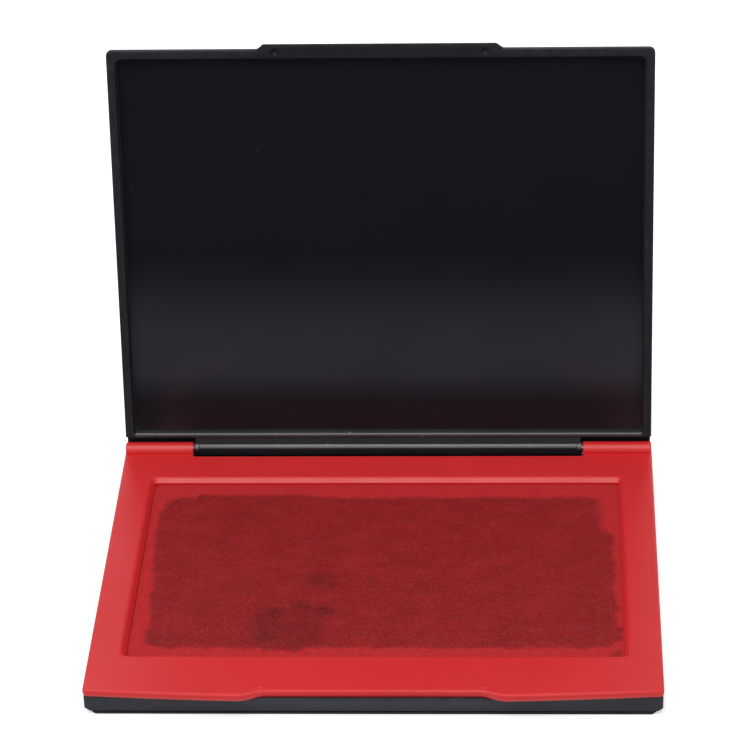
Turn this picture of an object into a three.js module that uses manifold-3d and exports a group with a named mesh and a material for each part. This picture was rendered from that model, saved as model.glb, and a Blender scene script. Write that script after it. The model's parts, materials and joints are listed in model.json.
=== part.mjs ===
// Stamp pad with a hinged lid, shown open: a black base tray, a red top frame with two hinge barrels,
// a black lid on two steel pins, and an ink pad of board, felt and woven cloth held under the frame.
// Millimetres, +Z up. X runs along the hinge, the front faces -Y. The origin is on the underside of the
// base, midway between the front corners and the hinge axis.
import * as THREE from 'three';
import { mergeVertices } from 'three/addons/utils/BufferGeometryUtils.js';
import Module from 'manifold-3d';

const wasm = await Module();
wasm.setup();

// Case, as seen from above
const CASE_WIDTH = 126;
const FRONT_TO_HINGE = 100.8;
const CORNER_RADIUS = 2;
const FRONT_BOW = 2.4;

// Base tray
const FLOOR = 1.2;
const BASE_WALL = 1.6;
const REAR_SILL = 4.5;
const SIDE_CHAMFER = 2.3;
const SIDE_CHAMFER_HEIGHT = 2.1;
const FRONT_LEAN = 0.8;
const FOOT_CHAMFER = 0.6;
const FENCE = 1;
const SOCKET_RADIUS = 2.6;
const SOCKET_GAP = 0.4;
const SOCKET_PITCH = 52;

// Ink pad, from the floor up
const BOARD_THICKNESS = 0.8;
const FELT_THICKNESS = 2.55;
const CLOTH_THICKNESS = 0.45;
const PAD_CROWN = 0.45;
const PAD_UNDER_FRAME = 1.8;
const PAD_FENCE_GAP = 0.3;
const LAYER_GAP = 0.05;
const CLOTH_GAP = 0.1;

// Red frame
const FRAME_PLATE = 1.7;
const FRAME_SEAT_GAP = 0.1;
const FRAME_EDGE_ROUND = 0.3;
const SIDE_BORDER = 6.6;
const FRONT_BORDER = 12.3;
const HINGE_BORDER = 12.3;
const BEVEL_WIDTH = 1.4;
const BEVEL_DEPTH = 1.2;
const RECESS_RADIUS = 1.5;
const NOTCH_DEPTH = 2;
const NOTCH_FLOOR_WIDTH = 42;
const NOTCH_MOUTH_WIDTH = 55;
const PEG_RADIUS = 1.2;
const PEG_LENGTH = 2.4;
const PEG_GAP = 0.2;
const PEG_END_GAP = 0.4;

// Hinge
const BARREL_RADIUS = 1.5;
const BARREL_LENGTH = 16.3;
const BARREL_LIFT = 0.62;
const BARREL_END_ROUND = 0.3;
const KNUCKLE_STEP = 0.1;
const COLLAR_STEP = 0.15;
const COLLAR_WIDTH = 1.1;
const KNUCKLE_END_GAP = 0.4;
const HINGE_SLOT = 1.35;
const PIN_RADIUS = 0.6;
const PIN_IN_KNUCKLE = 8;
const PIN_INSET = 0.3;
const PIN_PRESS_GAP = 0.05;
const PIN_RUN_GAP = 0.15;
const PIN_END_GAP = 0.5;

// Lid
const OPEN_ANGLE = THREE.MathUtils.degToRad(95.7);
const LID_PANEL = 1.25;
const LID_RIM = 2;
const LID_CORNER_RADIUS = 1.2;
const LID_EDGE_ROUND = 0.8;
const LID_RIM_CHAMFER = 0.3;
const LID_RECESS_RADIUS = 1.6;
const LID_SHUT_GAP = 0.15;
const PANEL_GAP = 0.1;
const HINGE_WALL = 1.1;
const HINGE_WALL_GAP = 1.4;
const HEEL = 2.5;
const STOP_GAP = 0.3;
const LIP_REACH = 1.6;
const LIP_ROOT_WIDTH = 56;
const LIP_TIP_WIDTH = 50.5;

// Latch: pips on the frame that click into dimples in the lid's lip
const LATCH_OFFSET = 23.9;
const LATCH_SETBACK = 1;
const PIP_RADIUS = 0.6;
const PIP_HEIGHT = 0.25;
const DIMPLE_GAP = 0.2;

// Facets
const CORNER_STEPS = 5;
const BOW_STEPS = 16;
const NOTCH_END_STEPS = 7;
const ROUND_SIDES = 28;
const PAD_STEPS_X = 22;
const PAD_STEPS_Y = 14;
const CUT_OVERRUN = 1;

// Places worked out from the sizes above
const halfWidth = CASE_WIDTH / 2;
const hingeY = FRONT_TO_HINGE / 2;
const frontY = -hingeY;

const boardBottom = FLOOR + LAYER_GAP;
const feltBottom = boardBottom + BOARD_THICKNESS + LAYER_GAP;
const feltTop = feltBottom + FELT_THICKNESS;
const clothTop = feltTop + CLOTH_GAP + CLOTH_THICKNESS;
const baseTop = clothTop;
const frameBottom = baseTop + FRAME_SEAT_GAP;
const frameTop = frameBottom + FRAME_PLATE;

const hingeZ = frameBottom + BARREL_LIFT + BARREL_RADIUS;
const collarRadius = BARREL_RADIUS + COLLAR_STEP;
const barrelInnerEnd = halfWidth - BARREL_LENGTH;
const knuckleHalf = barrelInnerEnd - KNUCKLE_END_GAP;
const panelUnder = collarRadius + PANEL_GAP;
const heelReach = panelUnder * Math.sin(OPEN_ANGLE) + HEEL * Math.cos(OPEN_ANGLE);
const rearY = hingeY + heelReach - STOP_GAP;

const recessHalfX = halfWidth - SIDE_BORDER;
const recessFrontY = frontY + FRONT_BORDER;
const recessRearY = hingeY - HINGE_BORDER;
const recessMidY = (recessFrontY + recessRearY) / 2;
const recessHalfY = (recessRearY - recessFrontY) / 2;
const padHalfX = recessHalfX - BEVEL_WIDTH + PAD_UNDER_FRAME;
const padHalfY = recessHalfY - BEVEL_WIDTH + PAD_UNDER_FRAME;
const fenceHalfX = padHalfX + PAD_FENCE_GAP + FENCE;
const fenceHalfY = padHalfY + PAD_FENCE_GAP + FENCE;
const socketOffsetY = fenceHalfY + SOCKET_GAP + SOCKET_RADIUS;

// A closed geometry becomes a solid that can be joined and cut.
function solid(geometry) {
  const bare = geometry.index ? geometry.toNonIndexed() : geometry.clone();
  bare.deleteAttribute('normal');
  bare.deleteAttribute('uv');
  const merged = mergeVertices(bare, 1e-5);
  return new wasm.Manifold(new wasm.Mesh({
    numProp: 3,
    vertProperties: new Float32Array(merged.attributes.position.array),
    triVerts: new Uint32Array(merged.index.array),
  }));
}

function geometryOf(body) {
  const mesh = body.getMesh();
  const geometry = new THREE.BufferGeometry();
  geometry.setAttribute('position', new THREE.BufferAttribute(new Float32Array(mesh.vertProperties), 3));
  geometry.setIndex(new THREE.BufferAttribute(new Uint32Array(mesh.triVerts), 1));
  geometry.computeVertexNormals();
  return geometry;
}

// A rounded plan outline, counter-clockwise. Its front edge may run forward by ahead(x) at each station.
function outline({ half, front, rear, radius, ahead = () => 0, stations = [] }) {
  const points = [];
  const corner = (x, y, turn) => {
    for (let i = 0; i <= CORNER_STEPS; i += 1) {
      const angle = (turn + i / CORNER_STEPS) * Math.PI / 2;
      points.push(new THREE.Vector2(x + radius * Math.cos(angle), y + radius * Math.sin(angle)));
    }
  };
  corner(-half + radius, front + radius, 2);
  stations.forEach((x) => points.push(new THREE.Vector2(x, front - ahead(x))));
  corner(half - radius, front + radius, 3);
  corner(half - radius, rear - radius, 0);
  corner(-half + radius, rear - radius, 1);
  return points;
}

// A closed body through outlines of equal point count, listed from the lowest to the highest.
function loft(rings) {
  const count = rings[0].points.length;
  const positions = rings.flatMap(({ points, z }) => points.flatMap((p) => [p.x, p.y, z]));
  const index = [];
  for (let level = 0; level + 1 < rings.length; level += 1) {
    for (let i = 0; i < count; i += 1) {
      const a = level * count + i;
      const b = level * count + (i + 1) % count;
      index.push(a, b, b + count, a, b + count, a + count);
    }
  }
  const lastRing = (rings.length - 1) * count;
  const cap = (ring) => THREE.ShapeUtils.triangulateShape(ring.points, []);
  cap(rings[0]).forEach(([a, b, c]) => index.push(a, c, b));
  cap(rings[rings.length - 1]).forEach((corners) => index.push(...corners.map((i) => i + lastRing)));
  const geometry = new THREE.BufferGeometry();
  geometry.setAttribute('position', new THREE.Float32BufferAttribute(positions, 3));
  geometry.setIndex(index);
  return geometry;
}

// An upright block with rounded plan corners.
function roundedBlock({ halfX, halfY, midY = 0, radius, bottom, top }) {
  const points = outline({ half: halfX, front: midY - halfY, rear: midY + halfY, radius });
  return loft([{ points, z: bottom }, { points, z: top }]);
}

function box(minX, maxX, minY, maxY, minZ, maxZ) {
  const geometry = new THREE.BoxGeometry(maxX - minX, maxY - minY, maxZ - minZ);
  return geometry.translate((minX + maxX) / 2, (minY + maxY) / 2, (minZ + maxZ) / 2);
}

function uprightRod(radius, x, y, bottom, top) {
  const rod = new THREE.CylinderGeometry(radius, radius, top - bottom, ROUND_SIDES);
  return rod.rotateX(Math.PI / 2).translate(x, y, (bottom + top) / 2);
}

// A rod along X between two places, each end with its own chamfer.
function crossRod(radius, fromX, toX, y, z, fromChamfer = 0, toChamfer = 0) {
  const profile = [
    [0, fromX], [radius - fromChamfer, fromX], [radius, fromX + fromChamfer],
    [radius, toX - toChamfer], [radius - toChamfer, toX], [0, toX],
  ].map(([r, x]) => new THREE.Vector2(r, x));
  const points = profile.filter((p, i) => i === 0 || !p.equals(profile[i - 1]));
  return new THREE.LatheGeometry(points, ROUND_SIDES).rotateZ(-Math.PI / 2).translate(0, y, z);
}

// Even stations between two places along X, ends included.
function stationsBetween(from, to, steps) {
  return Array.from({ length: steps + 1 }, (_, i) => from + (to - from) * i / steps);
}

function bowAt(x) {
  const reach = halfWidth - CORNER_RADIUS;
  return FRONT_BOW * (1 - (x / reach) ** 2);
}

// The frame's front edge: the bow, with a thumb notch whose ends sweep in on an S curve.
function notchedFront(x) {
  const floor = FRONT_BOW - NOTCH_DEPTH;
  const sweep = (NOTCH_MOUTH_WIDTH - NOTCH_FLOOR_WIDTH) / 2;
  const along = THREE.MathUtils.clamp((Math.abs(x) - NOTCH_FLOOR_WIDTH / 2) / sweep, 0, 1);
  const blend = along * along * (3 - 2 * along);
  return floor + (bowAt(x) - floor) * blend;
}

function notchedStations() {
  const end = halfWidth - CORNER_RADIUS;
  const mouth = NOTCH_MOUTH_WIDTH / 2;
  const floor = NOTCH_FLOOR_WIDTH / 2;
  const side = [
    ...stationsBetween(floor, mouth, NOTCH_END_STEPS),
    ...stationsBetween(mouth, end, BOW_STEPS / 2).slice(1, -1),
  ];
  return [...side.map((x) => -x).reverse(), ...side];
}

// One plan outline of the base at a height: bowed and full width at the top, straight and drawn in below.
function baseOutline(z, inset) {
  const rise = THREE.MathUtils.clamp((z - FOOT_CHAMFER) / (baseTop - FOOT_CHAMFER), 0, 1);
  const foot = Math.max(0, FOOT_CHAMFER - z);
  const sideIn = SIDE_CHAMFER * Math.max(0, 1 - z / SIDE_CHAMFER_HEIGHT);
  const reach = halfWidth - CORNER_RADIUS - sideIn - inset;
  return outline({
    half: halfWidth - sideIn - inset,
    front: frontY + FRONT_LEAN * (1 - rise) + foot + inset,
    rear: rearY - foot - inset,
    radius: CORNER_RADIUS,
    ahead: (x) => rise * bowAt(x),
    stations: stationsBetween(-reach, reach, BOW_STEPS).slice(1, -1),
  });
}

function baseLoft(levels, inset) {
  return loft(levels.map((z) => ({ points: baseOutline(z, inset), z })));
}

function socketPlaces() {
  return [-1, 0, 1].flatMap((column) => [-1, 1].map((row) => ({
    x: column * SOCKET_PITCH,
    y: recessMidY + row * socketOffsetY,
  })));
}

// Base tray: a lofted shell with a fence round the pad and sockets for the frame's pegs.
function baseTray() {
  const shell = solid(baseLoft([0, FOOT_CHAMFER, SIDE_CHAMFER_HEIGHT, baseTop], 0));
  const inside = solid(baseLoft([FLOOR, SIDE_CHAMFER_HEIGHT, baseTop + CUT_OVERRUN], BASE_WALL));
  const sillFront = rearY - REAR_SILL;
  const openTop = baseTop + CUT_OVERRUN;
  const sill = box(-CASE_WIDTH, CASE_WIDTH, sillFront, rearY + CUT_OVERRUN, 0, openTop + CUT_OVERRUN);
  let tray = shell.subtract(inside.subtract(solid(sill)));
  const fenceOut = roundedBlock({
    halfX: fenceHalfX,
    halfY: fenceHalfY,
    midY: recessMidY,
    radius: PAD_FENCE_GAP + FENCE,
    bottom: FLOOR / 2,
    top: baseTop,
  });
  const well = roundedBlock({
    halfX: fenceHalfX - FENCE,
    halfY: fenceHalfY - FENCE,
    midY: recessMidY,
    radius: PAD_FENCE_GAP,
    bottom: FLOOR,
    top: openTop,
  });
  tray = tray.add(solid(fenceOut)).subtract(solid(well));
  const socketDepth = PEG_LENGTH + PEG_END_GAP;
  socketPlaces().forEach(({ x, y }) => {
    tray = tray.add(solid(uprightRod(SOCKET_RADIUS, x, y, FLOOR / 2, baseTop)));
  });
  socketPlaces().forEach(({ x, y }) => {
    const bore = uprightRod(PEG_RADIUS + PEG_GAP, x, y, frameBottom - socketDepth, openTop);
    tray = tray.subtract(solid(bore));
  });
  return geometryOf(tray);
}

// A dome on a flat face: part of a sphere with a given foot radius and height.
function dome(footRadius, height, x, y, faceZ) {
  const radius = (footRadius ** 2 + height ** 2) / (2 * height);
  const ball = new THREE.SphereGeometry(radius, ROUND_SIDES / 2, ROUND_SIDES / 2);
  return ball.rotateX(Math.PI / 2).translate(x, y, faceZ + height - radius);
}

// Top frame: the plate with a softened top edge, the bevelled recess, barrels, pips and pegs.
function topFrame() {
  const plateRing = (z, inset) => ({
    z,
    points: outline({
      half: halfWidth - inset,
      front: frontY + inset,
      rear: rearY - inset,
      radius: CORNER_RADIUS - inset,
      ahead: notchedFront,
      stations: notchedStations(),
    }),
  });
  const round = FRAME_EDGE_ROUND;
  const softened = [0, 1, 2].map((i) => {
    const angle = i * Math.PI / 4;
    return plateRing(frameTop - round * (1 - Math.sin(angle)), round * (1 - Math.cos(angle)));
  });
  let frame = solid(loft([plateRing(frameBottom, 0), ...softened]));
  const recessRing = (z, inset) => ({
    z,
    points: outline({
      half: recessHalfX - inset,
      front: recessFrontY + inset,
      rear: recessRearY - inset,
      radius: RECESS_RADIUS,
    }),
  });
  const overrunInset = -BEVEL_WIDTH * CUT_OVERRUN / BEVEL_DEPTH;
  frame = frame.subtract(solid(loft([
    recessRing(frameBottom - CUT_OVERRUN, BEVEL_WIDTH),
    recessRing(frameTop - BEVEL_DEPTH, BEVEL_WIDTH),
    recessRing(frameTop + CUT_OVERRUN, overrunInset),
  ])));
  const slotFront = hingeY - collarRadius - HINGE_SLOT;
  const aboveTop = frameTop + CUT_OVERRUN;
  const slot = box(-barrelInnerEnd, barrelInnerEnd, slotFront, rearY + CUT_OVERRUN, 0, aboveTop);
  frame = frame.subtract(solid(slot));
  [-1, 1].forEach((side) => {
    const [from, to] = side < 0 ? [-halfWidth, -barrelInnerEnd] : [barrelInnerEnd, halfWidth];
    const rounds = side < 0 ? [BARREL_END_ROUND, 0] : [0, BARREL_END_ROUND];
    const barrel = crossRod(BARREL_RADIUS, from, to, hingeY, hingeZ, ...rounds);
    const boreRadius = PIN_RADIUS + PIN_PRESS_GAP;
    const bore = crossRod(boreRadius, from - CUT_OVERRUN, to + CUT_OVERRUN, hingeY, hingeZ);
    frame = frame.add(solid(barrel)).subtract(solid(bore));
    const pip = dome(PIP_RADIUS, PIP_HEIGHT, side * LATCH_OFFSET, frontY + LATCH_SETBACK, frameTop);
    frame = frame.add(solid(pip));
  });
  socketPlaces().forEach(({ x, y }) => {
    const peg = uprightRod(PEG_RADIUS, x, y, frameBottom - PEG_LENGTH, frameBottom + FRAME_PLATE / 2);
    frame = frame.add(solid(peg));
  });
  return geometryOf(frame);
}

// Lid, drawn shut in the hinge's own frame: the axis is at y = 0, z = 0 and the front at -Y.
function lid() {
  const rimZ = frameTop + LID_SHUT_GAP - hingeZ;
  const topZ = panelUnder + LID_PANEL;
  const lipReachAt = (x) => (Math.abs(x) <= LIP_TIP_WIDTH / 2 ? LIP_REACH : 0);
  const root = LIP_ROOT_WIDTH / 2;
  const tip = LIP_TIP_WIDTH / 2;
  const lidRing = (z, inset) => ({
    z,
    points: outline({
      half: halfWidth - inset,
      front: -FRONT_TO_HINGE + inset,
      rear: HEEL - inset,
      radius: LID_CORNER_RADIUS - inset,
      ahead: lipReachAt,
      stations: [-root, -tip, tip, root],
    }),
  });
  const round = LID_EDGE_ROUND;
  const softened = [0, 1, 2, 3].map((i) => {
    const angle = i * Math.PI / 6;
    return lidRing(topZ - round * (1 - Math.sin(angle)), round * (1 - Math.cos(angle)));
  });
  const rimEdge = [lidRing(rimZ, LID_RIM_CHAMFER), lidRing(rimZ + LID_RIM_CHAMFER, 0)];
  let body = solid(loft([...rimEdge, ...softened]));
  const wallOut = -BARREL_RADIUS - HINGE_WALL_GAP;
  const wallIn = wallOut - HINGE_WALL;
  const recess = outline({
    half: halfWidth - LID_RIM,
    front: -FRONT_TO_HINGE + LID_RIM,
    rear: wallIn,
    radius: LID_RECESS_RADIUS,
  });
  const below = rimZ - CUT_OVERRUN;
  body = body.subtract(solid(loft([{ points: recess, z: below }, { points: recess, z: panelUnder }])));
  const hingeSpace = box(-CASE_WIDTH, CASE_WIDTH, wallOut, HEEL + CUT_OVERRUN, below, panelUnder);
  body = body.subtract(solid(hingeSpace));
  const web = box(-knuckleHalf, knuckleHalf, wallOut - HINGE_WALL / 2, 0, rimZ, panelUnder + LID_PANEL / 2);
  const bar = crossRod(BARREL_RADIUS - KNUCKLE_STEP, -knuckleHalf, knuckleHalf, 0, 0);
  body = body.add(solid(web)).add(solid(bar));
  [-1, 1].forEach((side) => {
    const span = (from, to) => [side * from, side * to].sort((a, b) => a - b);
    const collar = crossRod(collarRadius, ...span(knuckleHalf - COLLAR_WIDTH, knuckleHalf), 0, 0);
    const boreEnd = knuckleHalf - PIN_IN_KNUCKLE - PIN_END_GAP;
    const bore = crossRod(PIN_RADIUS + PIN_RUN_GAP, ...span(boreEnd, knuckleHalf + CUT_OVERRUN), 0, 0);
    body = body.add(solid(collar)).subtract(solid(bore));
    const latch = [side * LATCH_OFFSET, -FRONT_TO_HINGE + LATCH_SETBACK, rimZ];
    const dimple = dome(PIP_RADIUS + DIMPLE_GAP, PIP_HEIGHT + DIMPLE_GAP, ...latch);
    body = body.subtract(solid(dimple));
  });
  return geometryOf(body);
}

// Rise of the pad above its edge: none under the frame, most over the middle.
function padRise(x, y) {
  const swell = (t, half) => 1 - Math.min(1, Math.abs(t) / half) ** 4;
  return PAD_CROWN * swell(x, recessHalfX - BEVEL_WIDTH) * swell(y - recessMidY, recessHalfY - BEVEL_WIDTH);
}

// A slab on a grid with a flat underside and a top that swells with the pad.
function crownedSlab(halfX, halfY, bottom, top) {
  const columns = stationsBetween(-halfX, halfX, PAD_STEPS_X);
  const rows = stationsBetween(recessMidY - halfY, recessMidY + halfY, PAD_STEPS_Y);
  const grid = rows.flatMap((y) => columns.map((x) => new THREE.Vector2(x, y)));
  const under = grid.flatMap((p) => [p.x, p.y, bottom]);
  const over = grid.flatMap((p) => [p.x, p.y, top + padRise(p.x, p.y)]);
  const across = columns.length;
  const index = [];
  const quad = (a, b, c, d) => index.push(a, b, c, a, c, d);
  for (let row = 0; row < PAD_STEPS_Y; row += 1) {
    for (let column = 0; column < PAD_STEPS_X; column += 1) {
      const a = row * across + column;
      const b = a + grid.length;
      quad(b, b + 1, b + 1 + across, b + across);
      quad(a, a + across, a + across + 1, a + 1);
    }
  }
  const lastRow = PAD_STEPS_Y * across;
  for (let column = 0; column < PAD_STEPS_X; column += 1) {
    quad(column, column + 1, column + 1 + grid.length, column + grid.length);
    const a = lastRow + column;
    quad(a + 1, a, a + grid.length, a + 1 + grid.length);
  }
  for (let row = 0; row < PAD_STEPS_Y; row += 1) {
    const a = row * across;
    quad(a + across, a, a + grid.length, a + across + grid.length);
    const b = a + across - 1;
    quad(b, b + across, b + across + grid.length, b + grid.length);
  }
  const geometry = new THREE.BufferGeometry();
  geometry.setAttribute('position', new THREE.Float32BufferAttribute([...under, ...over], 3));
  geometry.setIndex(index);
  return geometry;
}

// Cloth: stretched over the felt and down its sides to the floor.
function padCloth() {
  const over = crownedSlab(padHalfX, padHalfY, boardBottom, clothTop);
  const inside = crownedSlab(
    padHalfX - CLOTH_THICKNESS,
    padHalfY - CLOTH_THICKNESS,
    boardBottom - CUT_OVERRUN,
    clothTop - CLOTH_THICKNESS,
  );
  return geometryOf(solid(over).subtract(solid(inside)));
}

const coreHalfX = padHalfX - CLOTH_THICKNESS - CLOTH_GAP;
const coreHalfY = padHalfY - CLOTH_THICKNESS - CLOTH_GAP;

function inkFelt() {
  return geometryOf(solid(crownedSlab(coreHalfX, coreHalfY, feltBottom, feltTop)));
}

function backingBoard() {
  return roundedBlock({
    halfX: coreHalfX,
    halfY: coreHalfY,
    midY: recessMidY,
    radius: CORNER_RADIUS,
    bottom: boardBottom,
    top: boardBottom + BOARD_THICKNESS,
  });
}

function hingePin(side) {
  const ends = [knuckleHalf - PIN_IN_KNUCKLE, halfWidth - PIN_INSET].map((x) => side * x);
  return crossRod(PIN_RADIUS, Math.min(...ends), Math.max(...ends), hingeY, hingeZ);
}

function piece(name, geometry, color, roughness, metalness = 0) {
  const mesh = new THREE.Mesh(geometry, new THREE.MeshStandardMaterial({ color, roughness, metalness }));
  mesh.name = name;
  return mesh;
}

const stampPad = new THREE.Group();
stampPad.add(
  piece('base_tray', baseTray(), 0x2f3137, 0.45),
  piece('top_frame', topFrame(), 0xc8323a, 0.4),
  piece('hinge_pin_left', hingePin(-1), 0xb9bbc0, 0.3, 1),
  piece('hinge_pin_right', hingePin(1), 0xb9bbc0, 0.3, 1),
  piece('backing_board', backingBoard(), 0x9c978c, 0.8),
  piece('ink_felt', inkFelt(), 0x8a2a30, 0.95),
  piece('pad_cloth', padCloth(), 0x9c2c33, 0.85),
);

// The lid turns on the hinge axis and stands open against its heel.
const lidHinge = new THREE.Group();
lidHinge.position.set(0, hingeY, hingeZ);
lidHinge.rotation.x = -OPEN_ANGLE;
lidHinge.add(piece('lid', lid(), 0x17181c, 0.25));
stampPad.add(lidHinge);

export default stampPad;
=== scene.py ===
# %% [markdown]
# A stamp pad with a hinged lid.
# The real object is a flat black tray with a red frame clipped on top. A woven ink pad shows through the
# frame, and a black lid swings on two steel pins at the back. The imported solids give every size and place.
# Here each of them gets the fine edges, the cloth and the finishes that the eye expects, in the same frame.

# %% Load the frame
import json
import math

import bmesh
import bpy
import numpy as np
from mathutils import Matrix, Vector
from mathutils.kdtree import KDTree


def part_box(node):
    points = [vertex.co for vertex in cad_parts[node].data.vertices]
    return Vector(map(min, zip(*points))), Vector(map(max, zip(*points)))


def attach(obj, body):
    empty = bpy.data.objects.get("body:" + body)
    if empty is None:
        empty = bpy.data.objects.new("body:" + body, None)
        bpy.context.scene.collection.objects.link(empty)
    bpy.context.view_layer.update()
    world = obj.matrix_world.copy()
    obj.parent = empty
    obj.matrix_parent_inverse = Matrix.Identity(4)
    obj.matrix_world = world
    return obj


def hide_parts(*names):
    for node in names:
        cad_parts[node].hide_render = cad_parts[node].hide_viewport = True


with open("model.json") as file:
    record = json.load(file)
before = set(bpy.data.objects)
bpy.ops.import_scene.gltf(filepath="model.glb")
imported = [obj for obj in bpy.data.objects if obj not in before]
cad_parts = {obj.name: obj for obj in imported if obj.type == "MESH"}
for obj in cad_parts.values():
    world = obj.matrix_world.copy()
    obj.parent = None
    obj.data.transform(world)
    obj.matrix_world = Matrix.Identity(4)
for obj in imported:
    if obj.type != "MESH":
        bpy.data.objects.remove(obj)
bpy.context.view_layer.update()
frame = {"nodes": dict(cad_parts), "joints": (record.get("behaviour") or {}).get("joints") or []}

print("solids in the frame:", sorted(frame["nodes"]))

# %% [markdown]
# The main sizes are read from the frame, so the looks follow the construction. Lengths that the boxes
# don't give, such as a wall or a radius, are written in millimetres and turned into metres by MM.

# %% Sizes that the frame gives
MM = 0.001
hinge = frame["joints"][0]
HINGE = Vector(hinge["pos_m"])
OPEN_ANGLE = math.radians(hinge["range_deg"][1])
HALF_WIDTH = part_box("base_tray")[1].x
FRONT_Y = -HINGE.y
REAR_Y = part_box("base_tray")[1].y
BASE_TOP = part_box("base_tray")[1].z
print("case half width, hinge and tray top in mm:", HALF_WIDTH / MM, HINGE / MM, BASE_TOP / MM)

# %% [markdown]
# The camera stands well back with a long lens, as for a catalogue picture. Its place, its aim and its
# slight roll were fitted to the corners of the frame, the recess and the lid, so the drawing lines up edge
# for edge.

# %% Camera
CAMERA_PLACE = Vector((36.306, -708.730, 464.550)) * MM
CAMERA_AIM = Vector((-4.454, 86.230, 6.951)) * MM
CAMERA_ROLL = math.radians(-1.6057)
CAMERA_LENS = 177.325
CAMERA_SENSOR = 36.0

lens = bpy.data.cameras.new("camera")
lens.lens = CAMERA_LENS
lens.sensor_width = CAMERA_SENSOR
camera = bpy.data.objects.new("camera", lens)
bpy.context.scene.collection.objects.link(camera)
aim = (CAMERA_AIM - CAMERA_PLACE).to_track_quat("-Z", "Y").to_matrix()
turn = aim @ Matrix.Rotation(CAMERA_ROLL, 3, "Z")
camera.matrix_world = Matrix.Translation(CAMERA_PLACE) @ turn.to_4x4()
bpy.context.scene.camera = camera
print("camera is", round((CAMERA_AIM - CAMERA_PLACE).length, 3), "m from the pad")

# %% [markdown]
# A moulding is drawn the way a toolmaker draws it: an outline, a stack of such outlines at several heights,
# and a skin over the stack. An outline here is a list of corners, each with the radius of its fillet.
# Every ring of a stack has the same number of points, so the skin is clean quads.

# %% Outlines
FILLET_STEPS = 8


def filleted(corners):
    """A closed outline, counter-clockwise, from (x, y, fillet radius). A radius of 0 is one plain point."""
    points = []
    for i, (x, y, radius) in enumerate(corners):
        corner = Vector((x, y))
        if radius == 0:
            points.append(corner)
            continue
        to_last = (Vector(corners[i - 1][:2]) - corner).normalized()
        to_next = (Vector(corners[(i + 1) % len(corners)][:2]) - corner).normalized()
        half = to_last.angle(to_next) / 2
        centre = corner + (to_last + to_next).normalized() * radius / math.sin(half)
        start = corner + to_last * radius / math.tan(half) - centre
        sweep = start.angle_signed(corner + to_next * radius / math.tan(half) - centre)
        for k in range(FILLET_STEPS + 1):
            arm = Matrix.Rotation(-sweep * k / FILLET_STEPS, 2) @ start
            points.append(centre + arm)
    return np.array([tuple(p) for p in points])


def inset(points, distance):
    """The outline with each edge moved inwards by one distance."""
    def inward(edge):
        return np.stack([-edge[:, 1], edge[:, 0]], 1) / np.linalg.norm(edge, axis=1)[:, None]

    before = inward(points - np.roll(points, 1, 0))
    after = inward(np.roll(points, -1, 0) - points)
    reach = 1 + (before * after).sum(1)
    return points + distance * (before + after) / reach[:, None]


def rounded_box_outline(half_x, low_y, high_y, radius):
    sides = [(-half_x, low_y), (half_x, low_y), (half_x, high_y), (-half_x, high_y)]
    return filleted([(x, y, radius) for x, y in sides])


print("outline of a rounded box has", len(rounded_box_outline(1, 0, 1, 0.1)), "points")

# %% Rings and rounded edges
EDGE_STEPS = 5


def at_height(points, height, wear=0.0):
    """A ring for a stack: x, y, z and how much the ring is rubbed by use, from 0 to 1."""
    return np.column_stack([points, np.full(len(points), height), np.full(len(points), wear)])


def quarter(radius, steps=EDGE_STEPS):
    """Steps of a quarter round: how far it has come in, and how far it is below the top."""
    turns = np.linspace(0, math.pi / 2, steps + 1)
    return [(radius * (1 - math.cos(t)), radius * (1 - math.sin(t))) for t in turns]


def rubbed(step, last, most=1.0):
    """The wear at one step of a rounded edge: hands rub the round, and not the flats beside it."""
    return most if 0 < step < last else 0.0


print("a rounded edge has", len(quarter(1)), "rings")

# %% Skins
MERGE = 0.5e-6
RUBBED = []


def new_piece(name, mesh):
    piece = bpy.data.objects.new(name, mesh)
    bpy.context.scene.collection.objects.link(piece)
    return piece


def loft(name, rings, ring_closes=False):
    """Skins a stack of rings, lowest first. Both ends are capped, unless the last ring joins the first."""
    count, levels = len(rings[0]), len(rings)
    faces = []
    for level in range(levels if ring_closes else levels - 1):
        low, high = level * count, (level + 1) % levels * count
        for i in range(count):
            j = (i + 1) % count
            faces.append((low + i, low + j, high + j, high + i))
    if not ring_closes:
        faces.append(tuple(range(count - 1, -1, -1)))
        faces.append(tuple(range((levels - 1) * count, levels * count)))
    mesh = bpy.data.meshes.new(name)
    stack = np.concatenate(rings)
    mesh.from_pydata(stack[:, :3].tolist(), [], faces)
    RUBBED.extend(point for point in stack if point[3] > 0)
    return new_piece(name, mesh)


def bar_along_x(name, profile, half_length, sections=1):
    """A straight bar whose outline is given in (y, z), counter-clockwise as seen from +X."""
    unworn = np.zeros(len(profile))
    stations = np.linspace(-half_length, half_length, sections + 1)
    return loft(name, [np.column_stack([np.full(len(profile), x), profile, unworn]) for x in stations])


print("points closer than", MERGE / MM, "mm are one point")

# %% [markdown]
# Pegs, bores and walls are made on their own and joined to a moulding, or cut out of it, by a Boolean
# modifier. Its exact solver copes with faces that meet. The result is cleaned: doubled points are merged,
# and the shading is smooth with crisp creases.

# %% Joins and shading
CREASE_ANGLE = math.radians(32)


def settle(piece):
    """Turns the piece with its modifiers into a plain mesh."""
    graph = bpy.context.evaluated_depsgraph_get()
    shown = bpy.data.meshes.new_from_object(piece.evaluated_get(graph))
    piece.modifiers.clear()
    drawn, piece.data = piece.data, shown
    bpy.data.meshes.remove(drawn)
    return piece


def combine(piece, tool, operation):
    """Joins a tool to the piece with UNION, or cuts it away with DIFFERENCE. The tool is used up."""
    cut = piece.modifiers.new("combine", "BOOLEAN")
    cut.operation = operation
    cut.solver = "EXACT"
    cut.object = tool
    settle(piece)
    bpy.data.objects.remove(tool)
    return piece


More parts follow.
